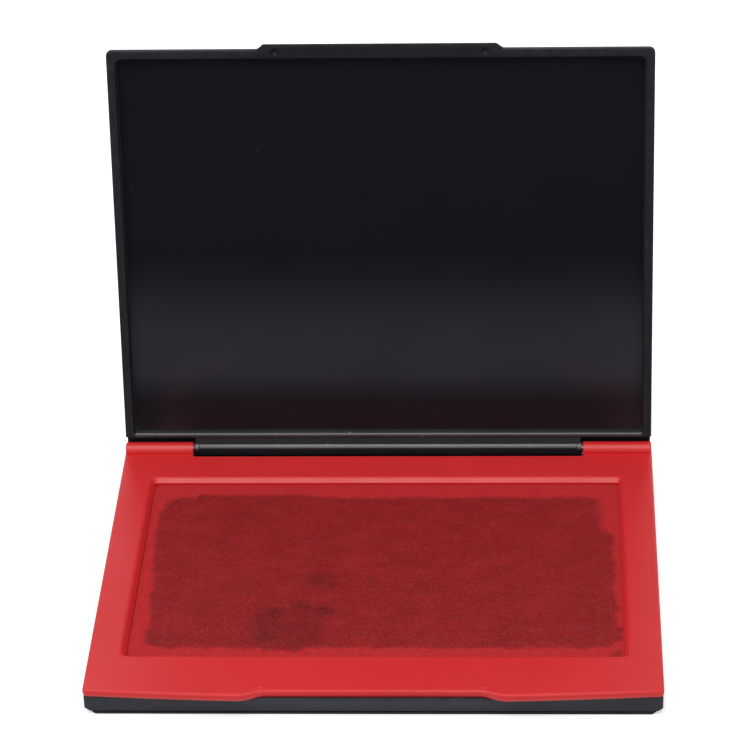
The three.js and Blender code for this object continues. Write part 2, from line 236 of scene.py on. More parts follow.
def tidy_mesh(piece):
    """Merges doubled points, drops faces with no area and points every face outwards."""
    work = bmesh.new()
    work.from_mesh(piece.data)
    bmesh.ops.remove_doubles(work, verts=work.verts, dist=MERGE)
    bmesh.ops.dissolve_degenerate(work, edges=work.edges, dist=MERGE)
    bmesh.ops.recalc_face_normals(work, faces=work.faces)
    work.to_mesh(piece.data)
    work.free()


def mark_wear(piece):
    """Gives each point its wear. Joins renumber the points, so a rubbed one is found again by its place."""
    places = KDTree(len(RUBBED))
    for i, point in enumerate(RUBBED):
        places.insert(point[:3], i)
    places.balance()
    found = [places.find(vertex.co) for vertex in piece.data.vertices]
    wear = [RUBBED[i][3] if distance < 2 * MERGE else 0 for _, i, distance in found]
    piece.data.attributes.new("wear", "FLOAT", "POINT").data.foreach_set("value", wear)


def finish_moulding(piece, material):
    """Smooth shading with crisp creases, flat faces kept flat, and one finish all over."""
    tidy_mesh(piece)
    mark_wear(piece)
    piece.data.shade_smooth()
    piece.data.set_sharp_from_angle(angle=CREASE_ANGLE)
    piece.data.materials.clear()
    piece.data.materials.append(material)
    piece.data.polygons.foreach_set("material_index", [0] * len(piece.data.polygons))
    flat = piece.modifiers.new("flat faces", "WEIGHTED_NORMAL")
    flat.keep_sharp = True
    print(piece.name, "has", len(piece.data.polygons), "faces")


# %% [markdown]
# Finishes and Geometry Nodes trees are both graphs of nodes. Small helpers keep them readable: one adds a
# node and fills its sockets, and others do a sum, stretch a range, mix two colours or raise a relief. A
# socket that is passed in is linked, and a plain number is typed into the node.

# %% Node helpers
NOISE_RANGE = (0.3, 0.7)


def add(tree, kind, sockets=None, **settings):
    node = tree.nodes.new(kind)
    for name, value in settings.items():
        setattr(node, name, value)
    for key, value in (sockets or {}).items():
        if isinstance(value, bpy.types.NodeSocket):
            tree.links.new(value, node.inputs[key])
        else:
            node.inputs[key].default_value = value
    return node


def link(tree, value, node, socket):
    tree.links.new(value, node.inputs[socket])


def maths(tree, operation, *values, clamp=False):
    sockets = dict(enumerate(values))
    return add(tree, "ShaderNodeMath", sockets, operation=operation, use_clamp=clamp).outputs[0]


def vector_maths(tree, operation, *values):
    sockets = dict(enumerate(values))
    return add(tree, "ShaderNodeVectorMath", sockets, operation=operation).outputs[0]


def parts_of(tree, place):
    """The x, y and z sockets of a place."""
    return add(tree, "ShaderNodeSeparateXYZ", {0: place}).outputs


def spread(tree, value, low, high, to_low=0.0, to_high=1.0, smooth=False):
    """Maps low to high onto to_low to to_high, held at both ends."""
    sockets = {"Value": value, "From Min": low, "From Max": high, "To Min": to_low, "To Max": to_high}
    kind = "SMOOTHSTEP" if smooth else "LINEAR"
    return add(tree, "ShaderNodeMapRange", sockets, interpolation_type=kind).outputs[0]


print("most noise lies between", NOISE_RANGE)

# %% Finish helpers
def mix_colour(tree, share, first, second):
    mix = add(tree, "ShaderNodeMix", {0: share, 6: first, 7: second}, data_type="RGBA")
    return mix.outputs[2]


def noise(tree, place, grain, detail=2.0, roughness=0.5, seed=0.0):
    """Noise whose blobs are about one grain wide, in metres."""
    sockets = {"Vector": place, "W": seed, "Scale": 1 / grain, "Detail": detail, "Roughness": roughness}
    return add(tree, "ShaderNodeTexNoise", sockets, noise_dimensions="4D").outputs[0]


def emboss(tree, height, depth, under=None):
    """A relief so deep in metres, from a height between 0 and 1, on top of another relief if there is one."""
    sockets = {"Strength": 1.0, "Distance": depth, "Height": height}
    if under is not None:
        sockets["Normal"] = under
    return add(tree, "ShaderNodeBump", sockets).outputs[0]


def new_finish(name):
    material = bpy.data.materials.new(name)
    material.use_nodes = True
    tree = material.node_tree
    place = add(tree, "ShaderNodeTexCoord").outputs["Object"]
    return material, tree, tree.nodes["Principled BSDF"], place


def set_evenly(shader, values):
    """Sets sockets of the shader that are the same all over the surface."""
    for name, value in values.items():
        shader.inputs[name].default_value = value


print("materials that came with the frame:", len(bpy.data.materials))

# %% [markdown]
# Three parts are moulded plastic. The recipe is one: a colour that drifts a little over the part, paler
# rubbed edges, a few specks of lint, a fine skin from the spark-eroded mould, and smears that change the
# gloss. Only the numbers differ: the frame is satin red, the tray satin black, and the lid smoother and
# blacker.

# %% Moulded plastic
DRIFT_GRAIN = 28 * MM
DRIFT_RANGE = (0.35, 0.65)
PATCH_GRAIN = 2.5 * MM
PATCH_RANGE = (0.35, 0.7)
LINT_GRAIN = 0.9 * MM
LINT_EDGE = 0.05
LINT_STRENGTH = 0.6
SMEAR_GRAIN = 9 * MM
EDGE_DULL = 0.22
# Grey of the painted reflection on the lid's panel.
PAINTED_REFLECTION_GREY = (0.0275, 0.0300, 0.0385, 1)


def moulded_plastic(name, colour, drifted, faded, rub, shine, gloss, skin_grain, skin_depth, lint,
                    flow=None, painted_reflection=None):
    material, tree, shader, place = new_finish(name)
    drift = noise(tree, place, DRIFT_GRAIN, detail=3.0, seed=1.0)
    base = mix_colour(tree, spread(tree, drift, *DRIFT_RANGE), (*colour, 1), (*drifted, 1))
    # A painted reflection: the lid panel's pale grey band is mixed into the base colour.
    if painted_reflection:
        base = mix_colour(tree, painted_reflection(tree, place), base, PAINTED_REFLECTION_GREY)
    edge = add(tree, "ShaderNodeAttribute", attribute_name="wear").outputs["Fac"]
    patchy = spread(tree, noise(tree, place, PATCH_GRAIN, detail=4.0, seed=2.0), *PATCH_RANGE)
    worn = maths(tree, "MULTIPLY", maths(tree, "MULTIPLY", edge, rub), patchy)
    base = mix_colour(tree, worn, base, (*faded, 1))
    fleck = noise(tree, place, LINT_GRAIN, detail=0.0, seed=3.0)
    dust = spread(tree, fleck, 1 - lint, 1 - lint + LINT_EDGE, 0.0, LINT_STRENGTH)
    link(tree, mix_colour(tree, dust, base, (*faded, 1)), shader, "Base Color")
    smear = noise(tree, place, SMEAR_GRAIN, detail=5.0, roughness=0.6, seed=4.0)
    dulled = maths(tree, "MULTIPLY_ADD", edge, EDGE_DULL, spread(tree, smear, *NOISE_RANGE, *gloss))
    link(tree, dulled, shader, "Roughness")
    skin = noise(tree, place, skin_grain, detail=2.0, seed=5.0)
    under = flow(tree, place) if flow else None
    link(tree, emboss(tree, skin, skin_depth, under), shader, "Normal")
    set_evenly(shader, {"Specular IOR Level": shine})
    return material


print("one recipe, drifting over", round(DRIFT_GRAIN / MM), "mm")

# %% [markdown]
# The lid's polished panel has two marks of its own. A broad, shallow flow mark makes it lean back a little
# more towards the hinge, and a pale grey band on its lower part is a painted reflection of the table. Both
# are rules of height.

# %% Flow and painted reflection of the lid's panel
FLOW_REACH = 40 * MM
FLOW_LEAN = math.radians(8.4)
REFLECTION_RISE = (9 * MM, 21 * MM)
REFLECTION_FALL = (24 * MM, 50 * MM)
REFLECTION_LEFT = 0.15
REFLECTION_GRAIN = 22 * MM
REFLECTION_CLOUDS = (0.86, 1.0)


def above_hinge(tree, place):
    return maths(tree, "SUBTRACT", parts_of(tree, place)[2], HINGE.z)


def hinge_flow(tree, place):
    """A broad, shallow flow mark: the panel leans back a little more towards the hinge."""
    nearness = spread(tree, above_hinge(tree, place), 0.0, FLOW_REACH, 1.0, 0.0)
    swelling = maths(tree, "POWER", nearness, 2.0)
    return emboss(tree, swelling, math.tan(FLOW_LEAN) * FLOW_REACH / 2)


def painted_reflection_band(tree, place):
    """A painted reflection: a pale grey band over the lower part of the panel, clear next to the hinge."""
    height = above_hinge(tree, place)
    band_rise = spread(tree, height, *REFLECTION_RISE, smooth=True)
    band_fall = spread(tree, height, *REFLECTION_FALL, 1.0, REFLECTION_LEFT, smooth=True)
    cloud = noise(tree, place, REFLECTION_GRAIN, detail=3.0, seed=18.0)
    band_shape = maths(tree, "MULTIPLY", band_rise, band_fall)
    return maths(tree, "MULTIPLY", band_shape, spread(tree, cloud, *NOISE_RANGE, *REFLECTION_CLOUDS))


print("the panel leans by", round(math.degrees(FLOW_LEAN), 1), "degrees at the hinge")

# %% [markdown]
# Besides the frame's red and the tray's black there are four blacks on the lid: its rim, its polished
# panel, the edge of the hinge wall, burnished by use, and the top of the knuckle bar, scuffed and greyed as a
# painted highlight.

# %% Plastics
RED_SATIN = moulded_plastic(
    "red satin plastic", (0.580, 0.0150, 0.0175), (0.610, 0.0180, 0.0205), (0.74, 0.22, 0.22),
    rub=0.06, shine=0.44, gloss=(0.34, 0.44), skin_grain=0.35 * MM, skin_depth=0.004 * MM, lint=0.16)
BLACK_SATIN = moulded_plastic(
    "black satin plastic", (0.0108, 0.0122, 0.0190), (0.0132, 0.0148, 0.0225), (0.10, 0.10, 0.11),
    rub=0.25, shine=0.33, gloss=(0.44, 0.54), skin_grain=0.30 * MM, skin_depth=0.005 * MM, lint=0.20)
LID_RIM_BLACK = moulded_plastic(
    "black rim plastic", (0.0095, 0.0105, 0.0145), (0.0115, 0.0125, 0.0165), (0.06, 0.06, 0.065),
    rub=0.25, shine=0.16, gloss=(0.42, 0.52), skin_grain=0.40 * MM, skin_depth=0.003 * MM, lint=0.17)
# The polished panel carries a painted reflection of the table as a pale band.
LID_PANEL_BLACK = moulded_plastic(
    "polished black plastic", (0.0052, 0.0056, 0.0078), (0.0060, 0.0064, 0.0088), (0.06, 0.06, 0.065),
    rub=0.0, shine=0.33, gloss=(0.10, 0.14), skin_grain=0.60 * MM, skin_depth=0.0015 * MM, lint=0.13,
    flow=hinge_flow, painted_reflection=painted_reflection_band)
BURNISHED_BLACK = moulded_plastic(
    "burnished black plastic", (0.0120, 0.0125, 0.0160), (0.0200, 0.0205, 0.0240), (0.20, 0.20, 0.20),
    rub=0.0, shine=0.55, gloss=(0.26, 0.36), skin_grain=0.30 * MM, skin_depth=0.003 * MM, lint=0.24)
# The knuckle bar's grey top is real scuffing and also a painted highlight where it faces the lamp.
SCUFFED_HIGHLIGHT_BLACK = moulded_plastic(
    "scuffed black plastic, painted highlight", (0.045, 0.043, 0.044), (0.070, 0.067, 0.068), (0.20, 0.20, 0.20),
    rub=0.0, shine=0.6, gloss=(0.32, 0.44), skin_grain=0.30 * MM, skin_depth=0.005 * MM, lint=0.26)
print("plastics:", [material.name for material in bpy.data.materials])

# %% [markdown]
# Small round features come in pairs or in rows: two hinge pins, two barrels, six pegs, two latch pips. Each
# kind could be copied by hand, but then a change of size has to be made many times. A Geometry Nodes tree
# makes one and repeats it by rule, and its named inputs are the sizes of the feature.

# %% Geometry Nodes helpers
ROUND_SIDES = 48


def new_tree(name, sizes):
    """A tree with one named number for each size, and the sockets that give them."""
    tree = bpy.data.node_groups.new(name, "GeometryNodeTree")
    for size in sizes:
        tree.interface.new_socket(size, in_out="INPUT", socket_type="NodeSocketFloat")
    tree.interface.new_socket("Mesh", in_out="OUTPUT", socket_type="NodeSocketGeometry")
    given = add(tree, "NodeGroupInput").outputs
    return tree, {size: given[size] for size in sizes}


def end_tree(tree, geometry, material):
    """Realises the copies, gives them their finish and hands them out."""
    real = add(tree, "GeometryNodeRealizeInstances", {0: geometry}).outputs[0]
    dressed = add(tree, "GeometryNodeSetMaterial", {"Geometry": real, "Material": material}).outputs[0]
    add(tree, "NodeGroupOutput", {0: dressed})


def grow(name, tree, sizes):
    """Runs a tree with these sizes and keeps its result as a plain mesh."""
    piece = new_piece(name, bpy.data.meshes.new(name))
    rule = piece.modifiers.new("rule", "NODES")
    rule.node_group = tree
    for socket in tree.interface.items_tree:
        if socket.in_out == "INPUT":
            rule[socket.identifier] = float(sizes[socket.name])
    settle(piece)
    tidy_mesh(piece)
    return piece


def vector(tree, x=0.0, y=0.0, z=0.0):
    return add(tree, "ShaderNodeCombineXYZ", {0: x, 1: y, 2: z}).outputs[0]


def copies(tree, points, shape, **turned):
    sockets = {"Points": points, "Instance": shape, **turned}
    return add(tree, "GeometryNodeInstanceOnPoints", sockets).outputs[0]


print("round features have", ROUND_SIDES, "sides")

# %% Paired rods
ROD_SIZES = ["Inner End", "Outer End", "Radius", "Inner Chamfer", "Outer Chamfer"]


def switch_by_index(tree, values):
    """A number for each point of a line, picked by the point's index."""
    node = add(tree, "GeometryNodeIndexSwitch", data_type="FLOAT")
    for _ in values[2:]:
        node.index_switch_items.new()
    link(tree, add(tree, "GeometryNodeInputIndex").outputs[0], node, 0)
    for i, value in enumerate(values):
        link(tree, value, node, 1 + i)
    return node.outputs[0]


def paired_rods(material):
    """Two turned rods in line along X, mirror images about the middle, each end with its own chamfer."""
    tree, size = new_tree("paired rods", ROD_SIZES)
    places = [
        size["Inner End"],
        maths(tree, "ADD", size["Inner End"], size["Inner Chamfer"]),
        maths(tree, "SUBTRACT", size["Outer End"], size["Outer Chamfer"]),
        size["Outer End"],
    ]
    radii = [
        maths(tree, "SUBTRACT", size["Radius"], size["Inner Chamfer"]),
        size["Radius"],
        size["Radius"],
        maths(tree, "SUBTRACT", size["Radius"], size["Outer Chamfer"]),
    ]
    line = add(tree, "GeometryNodeMeshLine", {"Count": len(places)}).outputs[0]
    along = vector(tree, switch_by_index(tree, places))
    spaced = add(tree, "GeometryNodeSetPosition", {"Geometry": line, "Position": along}).outputs[0]
    axis = add(tree, "GeometryNodeMeshToCurve", {0: spaced}).outputs[0]
    round_section = {"Resolution": ROUND_SIDES, "Radius": 1.0}
    circle = add(tree, "GeometryNodeCurvePrimitiveCircle", round_section).outputs[0]
    girth = switch_by_index(tree, radii)
    skin = {"Curve": axis, "Profile Curve": circle, "Scale": girth, "Fill Caps": True}
    rod = add(tree, "GeometryNodeCurveToMesh", skin).outputs[0]
    pair = add(tree, "GeometryNodePoints", {"Count": 2}).outputs[0]
    half_turn = maths(tree, "MULTIPLY", add(tree, "GeometryNodeInputIndex").outputs[0], math.pi)
    turned = add(tree, "FunctionNodeEulerToRotation", {0: vector(tree, z=half_turn)}).outputs[0]
    end_tree(tree, copies(tree, pair, rod, Rotation=turned), material)
    return tree


def rod_pair(name, tree, *sizes):
    """Grows two rods along X through the origin, from their sizes in the order of ROD_SIZES."""
    return grow(name, tree, dict(zip(ROD_SIZES, sizes)))


red_rods = paired_rods(RED_SATIN)
black_rods = paired_rods(LID_RIM_BLACK)
print("a pair of rods takes", len(red_rods.nodes), "nodes")

# %% Posts and domes
DOME_SEGMENTS = 32
DOME_RINGS = 24


def post_grid(material):
    """Six upright posts in three columns and two rows."""
    tree, size = new_tree("post grid", ["Pitch", "Row Offset", "Radius", "Foot", "Top"])
    width = maths(tree, "MULTIPLY", size["Pitch"], 2.0)
    length = maths(tree, "MULTIPLY", size["Row Offset"], 2.0)
    cells = {"Size X": width, "Size Y": length, "Vertices X": 3, "Vertices Y": 2}
    grid = add(tree, "GeometryNodeMeshGrid", cells).outputs[0]
    depth = maths(tree, "SUBTRACT", size["Top"], size["Foot"])
    shape = {"Vertices": ROUND_SIDES, "Radius": size["Radius"], "Depth": depth}
    post = add(tree, "GeometryNodeMeshCylinder", shape).outputs["Mesh"]
    middle = maths(tree, "MULTIPLY", maths(tree, "ADD", size["Top"], size["Foot"]), 0.5)
    lifted = {"Geometry": post, "Offset": vector(tree, z=middle)}
    upright = add(tree, "GeometryNodeSetPosition", lifted).outputs[0]
    end_tree(tree, copies(tree, grid, upright), material)
    return tree


def dome_pair(material):
    """Two balls sunk in a face so that only a low dome of each stands out of it."""
    tree, size = new_tree("dome pair", ["Offset", "Y", "Face", "Foot Radius", "Rise"])
    foot_square = maths(tree, "POWER", size["Foot Radius"], 2.0)
    rise_square = maths(tree, "POWER", size["Rise"], 2.0)
    twice_rise = maths(tree, "MULTIPLY", size["Rise"], 2.0)
    radius = maths(tree, "DIVIDE", maths(tree, "ADD", foot_square, rise_square), twice_rise)
    height = maths(tree, "SUBTRACT", maths(tree, "ADD", size["Face"], size["Rise"]), radius)
    first = vector(tree, maths(tree, "MULTIPLY", size["Offset"], -1.0), size["Y"], height)
    step = vector(tree, maths(tree, "MULTIPLY", size["Offset"], 2.0))
    line = {"Count": 2, "Start Location": first, "Offset": step}
    pair = add(tree, "GeometryNodeMeshLine", line).outputs[0]
    shape = {"Segments": DOME_SEGMENTS, "Rings": DOME_RINGS, "Radius": radius}
    ball = add(tree, "GeometryNodeMeshUVSphere", shape).outputs[0]
    end_tree(tree, copies(tree, pair, ball), material)
    return tree


red_posts = post_grid(RED_SATIN)
black_posts = post_grid(BLACK_SATIN)
red_domes = dome_pair(RED_SATIN)
black_domes = dome_pair(LID_RIM_BLACK)
print("trees:", [tree.name for tree in bpy.data.node_groups])

# %% [markdown]
# The tray is the black bottom half. Its front leans forward and bows out towards the top, its ends are cut
# away on a slope, and a fine groove runs all round it just above the desk. Inside are a fence round the pad
# and six sockets that take the pegs of the frame. A stack of outlines gives the shell, and cuts make the
# inside.

# %% Tray shell
CORNER = 1 * MM
FRONT_BOW = 2.4 * MM
TRAY_BOW = 1.4 * MM
TRAY_FLOOR = 1.2 * MM
TRAY_WALL = 1.6 * MM
REAR_SILL = 4.5 * MM
TRAY_CORNER = 0.5 * MM
SIDE_CHAMFER = 2.1 * MM
SIDE_CHAMFER_HEIGHT = 1.75 * MM
FRONT_LEAN = 0.5 * MM
GROOVE_LOW = 0.62 * MM
GROOVE_HIGH = 1.02 * MM
GROOVE_DEPTH = 0.5 * MM
GROOVE_SLOPE = 0.06 * MM
FOOT_INSET = 0.3 * MM
TRAY_EDGE = 0.4 * MM
TRAY_EDGE_STEPS = 3
OVERRUN = 1 * MM
BOW_STEPS = 40


def bow(x, middle=FRONT_BOW):
    """How far the front edge runs ahead of the corners, if it runs so far ahead in the middle."""
    return middle * (1 - (x / (HALF_WIDTH - CORNER)) ** 2)


def tray_outline(z, wall, rear):
    """The tray from above at one height, drawn in by a wall."""
    rise = min(1, max(0, (z - GROOVE_HIGH) / (BASE_TOP - GROOVE_HIGH)))
    foot = FOOT_INSET if z < GROOVE_LOW else GROOVE_DEPTH if z <= GROOVE_HIGH else 0
    side = HALF_WIDTH - SIDE_CHAMFER * max(0, 1 - z / SIDE_CHAMFER_HEIGHT) - wall
    front = FRONT_Y + FRONT_LEAN * (1 - rise) + foot + wall
    end = side - TRAY_CORNER
    stations = np.linspace(-end, end, BOW_STEPS + 1)[1:-1]
    bowed = [(x, front - rise * bow(x, TRAY_BOW), 0) for x in stations]
    back = rear - foot
    return filleted([
        (-side, front, TRAY_CORNER), *bowed, (side, front, TRAY_CORNER),
        (side, back, TRAY_CORNER), (-side, back, TRAY_CORNER),
    ])


def tray_shell():
    groove = [GROOVE_LOW - GROOVE_SLOPE, GROOVE_LOW, GROOVE_HIGH, GROOVE_HIGH + GROOVE_SLOPE]
    levels = [0, *groove, SIDE_CHAMFER_HEIGHT, BASE_TOP - TRAY_EDGE]
    rings = [at_height(tray_outline(z, 0, REAR_Y), z) for z in levels]
    for come_in, below in quarter(TRAY_EDGE, TRAY_EDGE_STEPS)[1:]:
        z = BASE_TOP - below
        rings.append(at_height(inset(tray_outline(z, 0, REAR_Y), come_in), z, wear=1.0))
    return loft("tray", rings)


def tray_cavity():
    levels = [TRAY_FLOOR, SIDE_CHAMFER_HEIGHT, BASE_TOP + OVERRUN]
    rear = REAR_Y - REAR_SILL
    return loft("cavity", [at_height(tray_outline(z, TRAY_WALL, rear), z) for z in levels])


tray = combine(tray_shell(), tray_cavity(), "DIFFERENCE")
print("tray shell in mm:", [round(x / MM, 2) for x in tray.dimensions])

# %% Tray fence and sockets
pad_low, pad_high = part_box("pad_cloth")
PAD_HALF = Vector((pad_high.x, pad_high.y))
SEAM = 0.02 * MM
FRAME_BOTTOM = BASE_TOP + SEAM
FENCE = 1 * MM
FENCE_GAP = 0.3 * MM
FENCE_DROP = 0.2 * MM
SOCKET_RADIUS = 2.6 * MM
SOCKET_PITCH = 52 * MM
SOCKET_GAP = 0.4 * MM
SOCKET_DROP = 0.3 * MM
PEG_RADIUS = 1.2 * MM
PEG_LENGTH = 2.4 * MM
PEG_GAP = 0.2 * MM
PEG_END_GAP = 0.4 * MM
SOCKET_ROW = PAD_HALF.y + FENCE_GAP + FENCE + SOCKET_GAP + SOCKET_RADIUS


def upright_box(name, half, radius, foot, top):
    outline = rounded_box_outline(half.x, -half.y, half.y, radius)
    return loft(name, [at_height(outline, foot), at_height(outline, top)])


def post_sizes(radius, foot, top):
    return {"Pitch": SOCKET_PITCH, "Row Offset": SOCKET_ROW, "Radius": radius, "Foot": foot, "Top": top}


room = PAD_HALF + Vector((FENCE_GAP, FENCE_GAP))
fence_half = room + Vector((FENCE, FENCE))
fence = upright_box("fence", fence_half, FENCE_GAP + FENCE, TRAY_FLOOR / 2, BASE_TOP - FENCE_DROP)
combine(tray, fence, "UNION")
combine(tray, upright_box("well", room, FENCE_GAP, TRAY_FLOOR, BASE_TOP + OVERRUN), "DIFFERENCE")
posts = post_sizes(SOCKET_RADIUS, TRAY_FLOOR / 2, BASE_TOP - SOCKET_DROP)
combine(tray, grow("posts", black_posts, posts), "UNION")
bore_foot = FRAME_BOTTOM - PEG_LENGTH - PEG_END_GAP
bores = post_sizes(PEG_RADIUS + PEG_GAP, bore_foot, BASE_TOP + OVERRUN)
combine(tray, grow("bores", black_posts, bores), "DIFFERENCE")
finish_moulding(tray, BLACK_SATIN)
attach(tray, "case")
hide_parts("base_tray")

# %% [markdown]
# The red frame is one flat moulding with a sloping bevel down to the pad, a bowed front with a shallow
# thumb notch, and a slot at the back for the hinge. Its section changes little round the ring, so the ring
# is one closed skin: up the outside, over the softened edge, across the top, down the bevel and back
# underneath.

# %% Frame outlines
FRAME_PLATE = 1.78 * MM
FRAME_TOP = FRAME_BOTTOM + FRAME_PLATE
FRAME_OVERHANG = 0.3 * MM
SIDE_OVERHANG = 0.15 * MM
FRAME_FRONT = FRONT_Y - FRAME_OVERHANG
FRAME_HALF = HALF_WIDTH + SIDE_OVERHANG
NOTCH_DEPTH = 2.2 * MM
NOTCH_FLOOR = 23.2 * MM
NOTCH_MOUTH = 29.4 * MM
FLOOR_STEPS = 4
TURN_STEPS = 16
END_STEPS = 14
BARREL_RADIUS = 1.5 * MM
BARREL_LENGTH = 16.3 * MM
BARREL_INNER_END = HALF_WIDTH - BARREL_LENGTH
HINGE_ROOM = BARREL_RADIUS + 0.15 * MM
SLOT_GAP = 1.2 * MM
SLOT_FRONT = HINGE.y - HINGE_ROOM - SLOT_GAP
SLOT_FILLET = 0.75 * MM


def notched_bow(x):
    """The bowed front, drawn back over the thumb notch on an S curve at each end."""
    floor = FRONT_BOW - NOTCH_DEPTH
    along = np.clip((abs(x) - NOTCH_FLOOR) / (NOTCH_MOUTH - NOTCH_FLOOR), 0, 1)
    return floor + (bow(x) - floor) * along * along * (3 - 2 * along)


def front_stations():
    """Places along the front edge, closer together where the notch turns."""
    end = HALF_WIDTH - CORNER
    half = [
        *np.linspace(0, NOTCH_FLOOR, FLOOR_STEPS + 1),
        *np.linspace(NOTCH_FLOOR, NOTCH_MOUTH, TURN_STEPS + 1)[1:],
        *np.linspace(NOTCH_MOUTH, end, END_STEPS + 1)[1:-1],
    ]
    return [-x for x in half[:0:-1]] + half


def frame_outline():
    slot = BARREL_INNER_END
    front = [(x, FRAME_FRONT - notched_bow(x), 0) for x in front_stations()]
    return filleted([
        (-FRAME_HALF, FRAME_FRONT, CORNER), *front, (FRAME_HALF, FRAME_FRONT, CORNER),
        (FRAME_HALF, REAR_Y, CORNER), (slot, REAR_Y, SLOT_FILLET), (slot, SLOT_FRONT, SLOT_FILLET),
        (-slot, SLOT_FRONT, SLOT_FILLET), (-slot, REAR_Y, SLOT_FILLET), (-FRAME_HALF, REAR_Y, CORNER),
    ])


print("points round the frame:", len(frame_outline()))

# %% Recess outline
SIDE_BORDER = 7.0 * MM
END_BORDER = 12.75 * MM
RECESS_HALF = Vector((HALF_WIDTH - SIDE_BORDER, HINGE.y - END_BORDER))
RECESS_RADIUS = 1.7 * MM
BESIDE_SLOT_FAR = 1.9 * MM
BESIDE_SLOT_NEAR = 0.2 * MM


def recess_ring(narrower, radius, height, wear=0.0):
    """A ring of the recess, with a point for each point of the frame's own outline."""
    half = RECESS_HALF - Vector((narrower, narrower))
    shrink = (half.x - radius) / (HALF_WIDTH - CORNER)
    front = [(x * shrink, -half.y, 0) for x in front_stations()]
    far, near = BARREL_INNER_END + BESIDE_SLOT_FAR, BARREL_INNER_END + BESIDE_SLOT_NEAR
    beside_slot = np.linspace(far, near, 2 * (FILLET_STEPS + 1))
    rear = [(x, half.y, 0) for x in (*beside_slot, *-beside_slot[::-1])]
    outline = filleted([
        (-half.x, -half.y, radius), *front, (half.x, -half.y, radius),
        (half.x, half.y, radius), *rear, (-half.x, half.y, radius),
    ])
    return at_height(outline, height, wear)


print("points round the recess:", len(recess_ring(0, RECESS_RADIUS, FRAME_TOP)))

# %% Frame ring
FRAME_EDGE = 0.55 * MM
HOLD = 0.12 * MM
UNDER_EDGE = 0.95 * MM
UNDER_LEAN = 0.36
UNDER_STEPS = 8
RECESS_EDGE = 1.1 * MM
RECESS_RUB = 0.5
BEVEL_WIDTH = 0.88 * MM
BEVEL_DEPTH = 0.88 * MM
BEVEL_SHARES = (0.75, 0.9, 1.0)
FOOT_RADIUS = 0.9 * MM
LIP_EDGE = 0.12 * MM
LIP_RELIEF = 0.12 * MM
LIP_RELIEF_WIDTH = 1.6 * MM


def outer_rings():
    """Up the outside: the under edge that leans in, the rounded top edge, and a ring that holds it."""
    outer = frame_outline()
    rings = []
    for come_in, above in quarter(UNDER_EDGE, UNDER_STEPS)[::-1]:
        rings.append(at_height(inset(outer, UNDER_LEAN * come_in), FRAME_BOTTOM + above))
    for come_in, below in quarter(FRAME_EDGE):
        rings.append(at_height(inset(outer, come_in), FRAME_TOP - below, rubbed(come_in, FRAME_EDGE)))
    return rings + [at_height(inset(outer, FRAME_EDGE + HOLD), FRAME_TOP)]


def inner_rings():
    """Over the rounded edge of the recess, down the bevel, and back under the lip that lies on the pad."""
    slope = math.atan2(BEVEL_DEPTH, BEVEL_WIDTH)
    tangent = RECESS_EDGE * math.tan(slope / 2)
    rings = [recess_ring(-tangent - HOLD, RECESS_RADIUS, FRAME_TOP)]
    for turn in np.linspace(0, slope, EDGE_STEPS + 1):
        come_in = -tangent + RECESS_EDGE * math.sin(turn)
        down = FRAME_TOP - RECESS_EDGE * (1 - math.cos(turn))
        rings.append(recess_ring(come_in, RECESS_RADIUS, down, rubbed(turn, slope, RECESS_RUB)))
    for share in BEVEL_SHARES:
        radius = RECESS_RADIUS + (FOOT_RADIUS - RECESS_RADIUS) * share
        rings.append(recess_ring(BEVEL_WIDTH * share, radius, FRAME_TOP - BEVEL_DEPTH * share))
    lip = BEVEL_WIDTH + LIP_EDGE
    under_lip = FRAME_BOTTOM + LIP_RELIEF
    set_back = BEVEL_WIDTH - LIP_RELIEF_WIDTH
    return rings + [
        recess_ring(lip, FOOT_RADIUS, FRAME_TOP - BEVEL_DEPTH - LIP_EDGE),
        recess_ring(lip, FOOT_RADIUS, under_lip + LIP_EDGE / 2),
        recess_ring(lip - LIP_EDGE / 2, FOOT_RADIUS, under_lip),
        recess_ring(set_back, RECESS_RADIUS, under_lip),
        recess_ring(set_back - LIP_RELIEF, RECESS_RADIUS, FRAME_BOTTOM),
    ]


red_frame = loft("frame", outer_rings() + inner_rings(), ring_closes=True)
print("frame ring in mm:", [round(x / MM, 2) for x in red_frame.dimensions])

# %% Frame barrels, pegs and latch pips
PIN_RADIUS = 0.6 * MM
PIN_PRESS_GAP = 0.05 * MM
BARREL_STOUT = 0.4 * MM
BARREL_SHIFT = Vector((0, -0.35, -0.28)) * MM
BARREL_CHAMFERS = (0.12 * MM, 0.3 * MM)
BORE_CHAMFERS = (0.1 * MM, 0.1 * MM)
LATCH_OFFSET = 24.1 * MM
LATCH_SETBACK = 1 * MM
PIP_RADIUS = 0.6 * MM
PIP_HEIGHT = 0.15 * MM


def on_hinge(piece):
    """Moves rods that were made along X through the origin onto the hinge axis."""
    piece.data.transform(Matrix.Translation(HINGE))
    return piece


stout = BARREL_RADIUS + BARREL_STOUT
barrels = rod_pair("barrels", red_rods, BARREL_INNER_END, HALF_WIDTH, stout, *BARREL_CHAMFERS)
on_hinge(barrels).data.transform(Matrix.Translation(BARREL_SHIFT))
combine(red_frame, barrels, "UNION")
tight, inside, outside = PIN_RADIUS + PIN_PRESS_GAP, BARREL_INNER_END - OVERRUN, HALF_WIDTH + OVERRUN
barrel_bores = rod_pair("barrel bores", red_rods, inside, outside, tight, *BORE_CHAMFERS)
combine(red_frame, on_hinge(barrel_bores), "DIFFERENCE")
pegs = post_sizes(PEG_RADIUS, FRAME_BOTTOM - PEG_LENGTH, FRAME_BOTTOM + FRAME_PLATE / 2)
combine(red_frame, grow("pegs", red_posts, pegs), "UNION")
pips = {"Offset": LATCH_OFFSET, "Y": FRONT_Y + LATCH_SETBACK, "Face": FRAME_TOP,
        "Foot Radius": PIP_RADIUS, "Rise": PIP_HEIGHT}
combine(red_frame, grow("pips", red_domes, pips), "UNION")
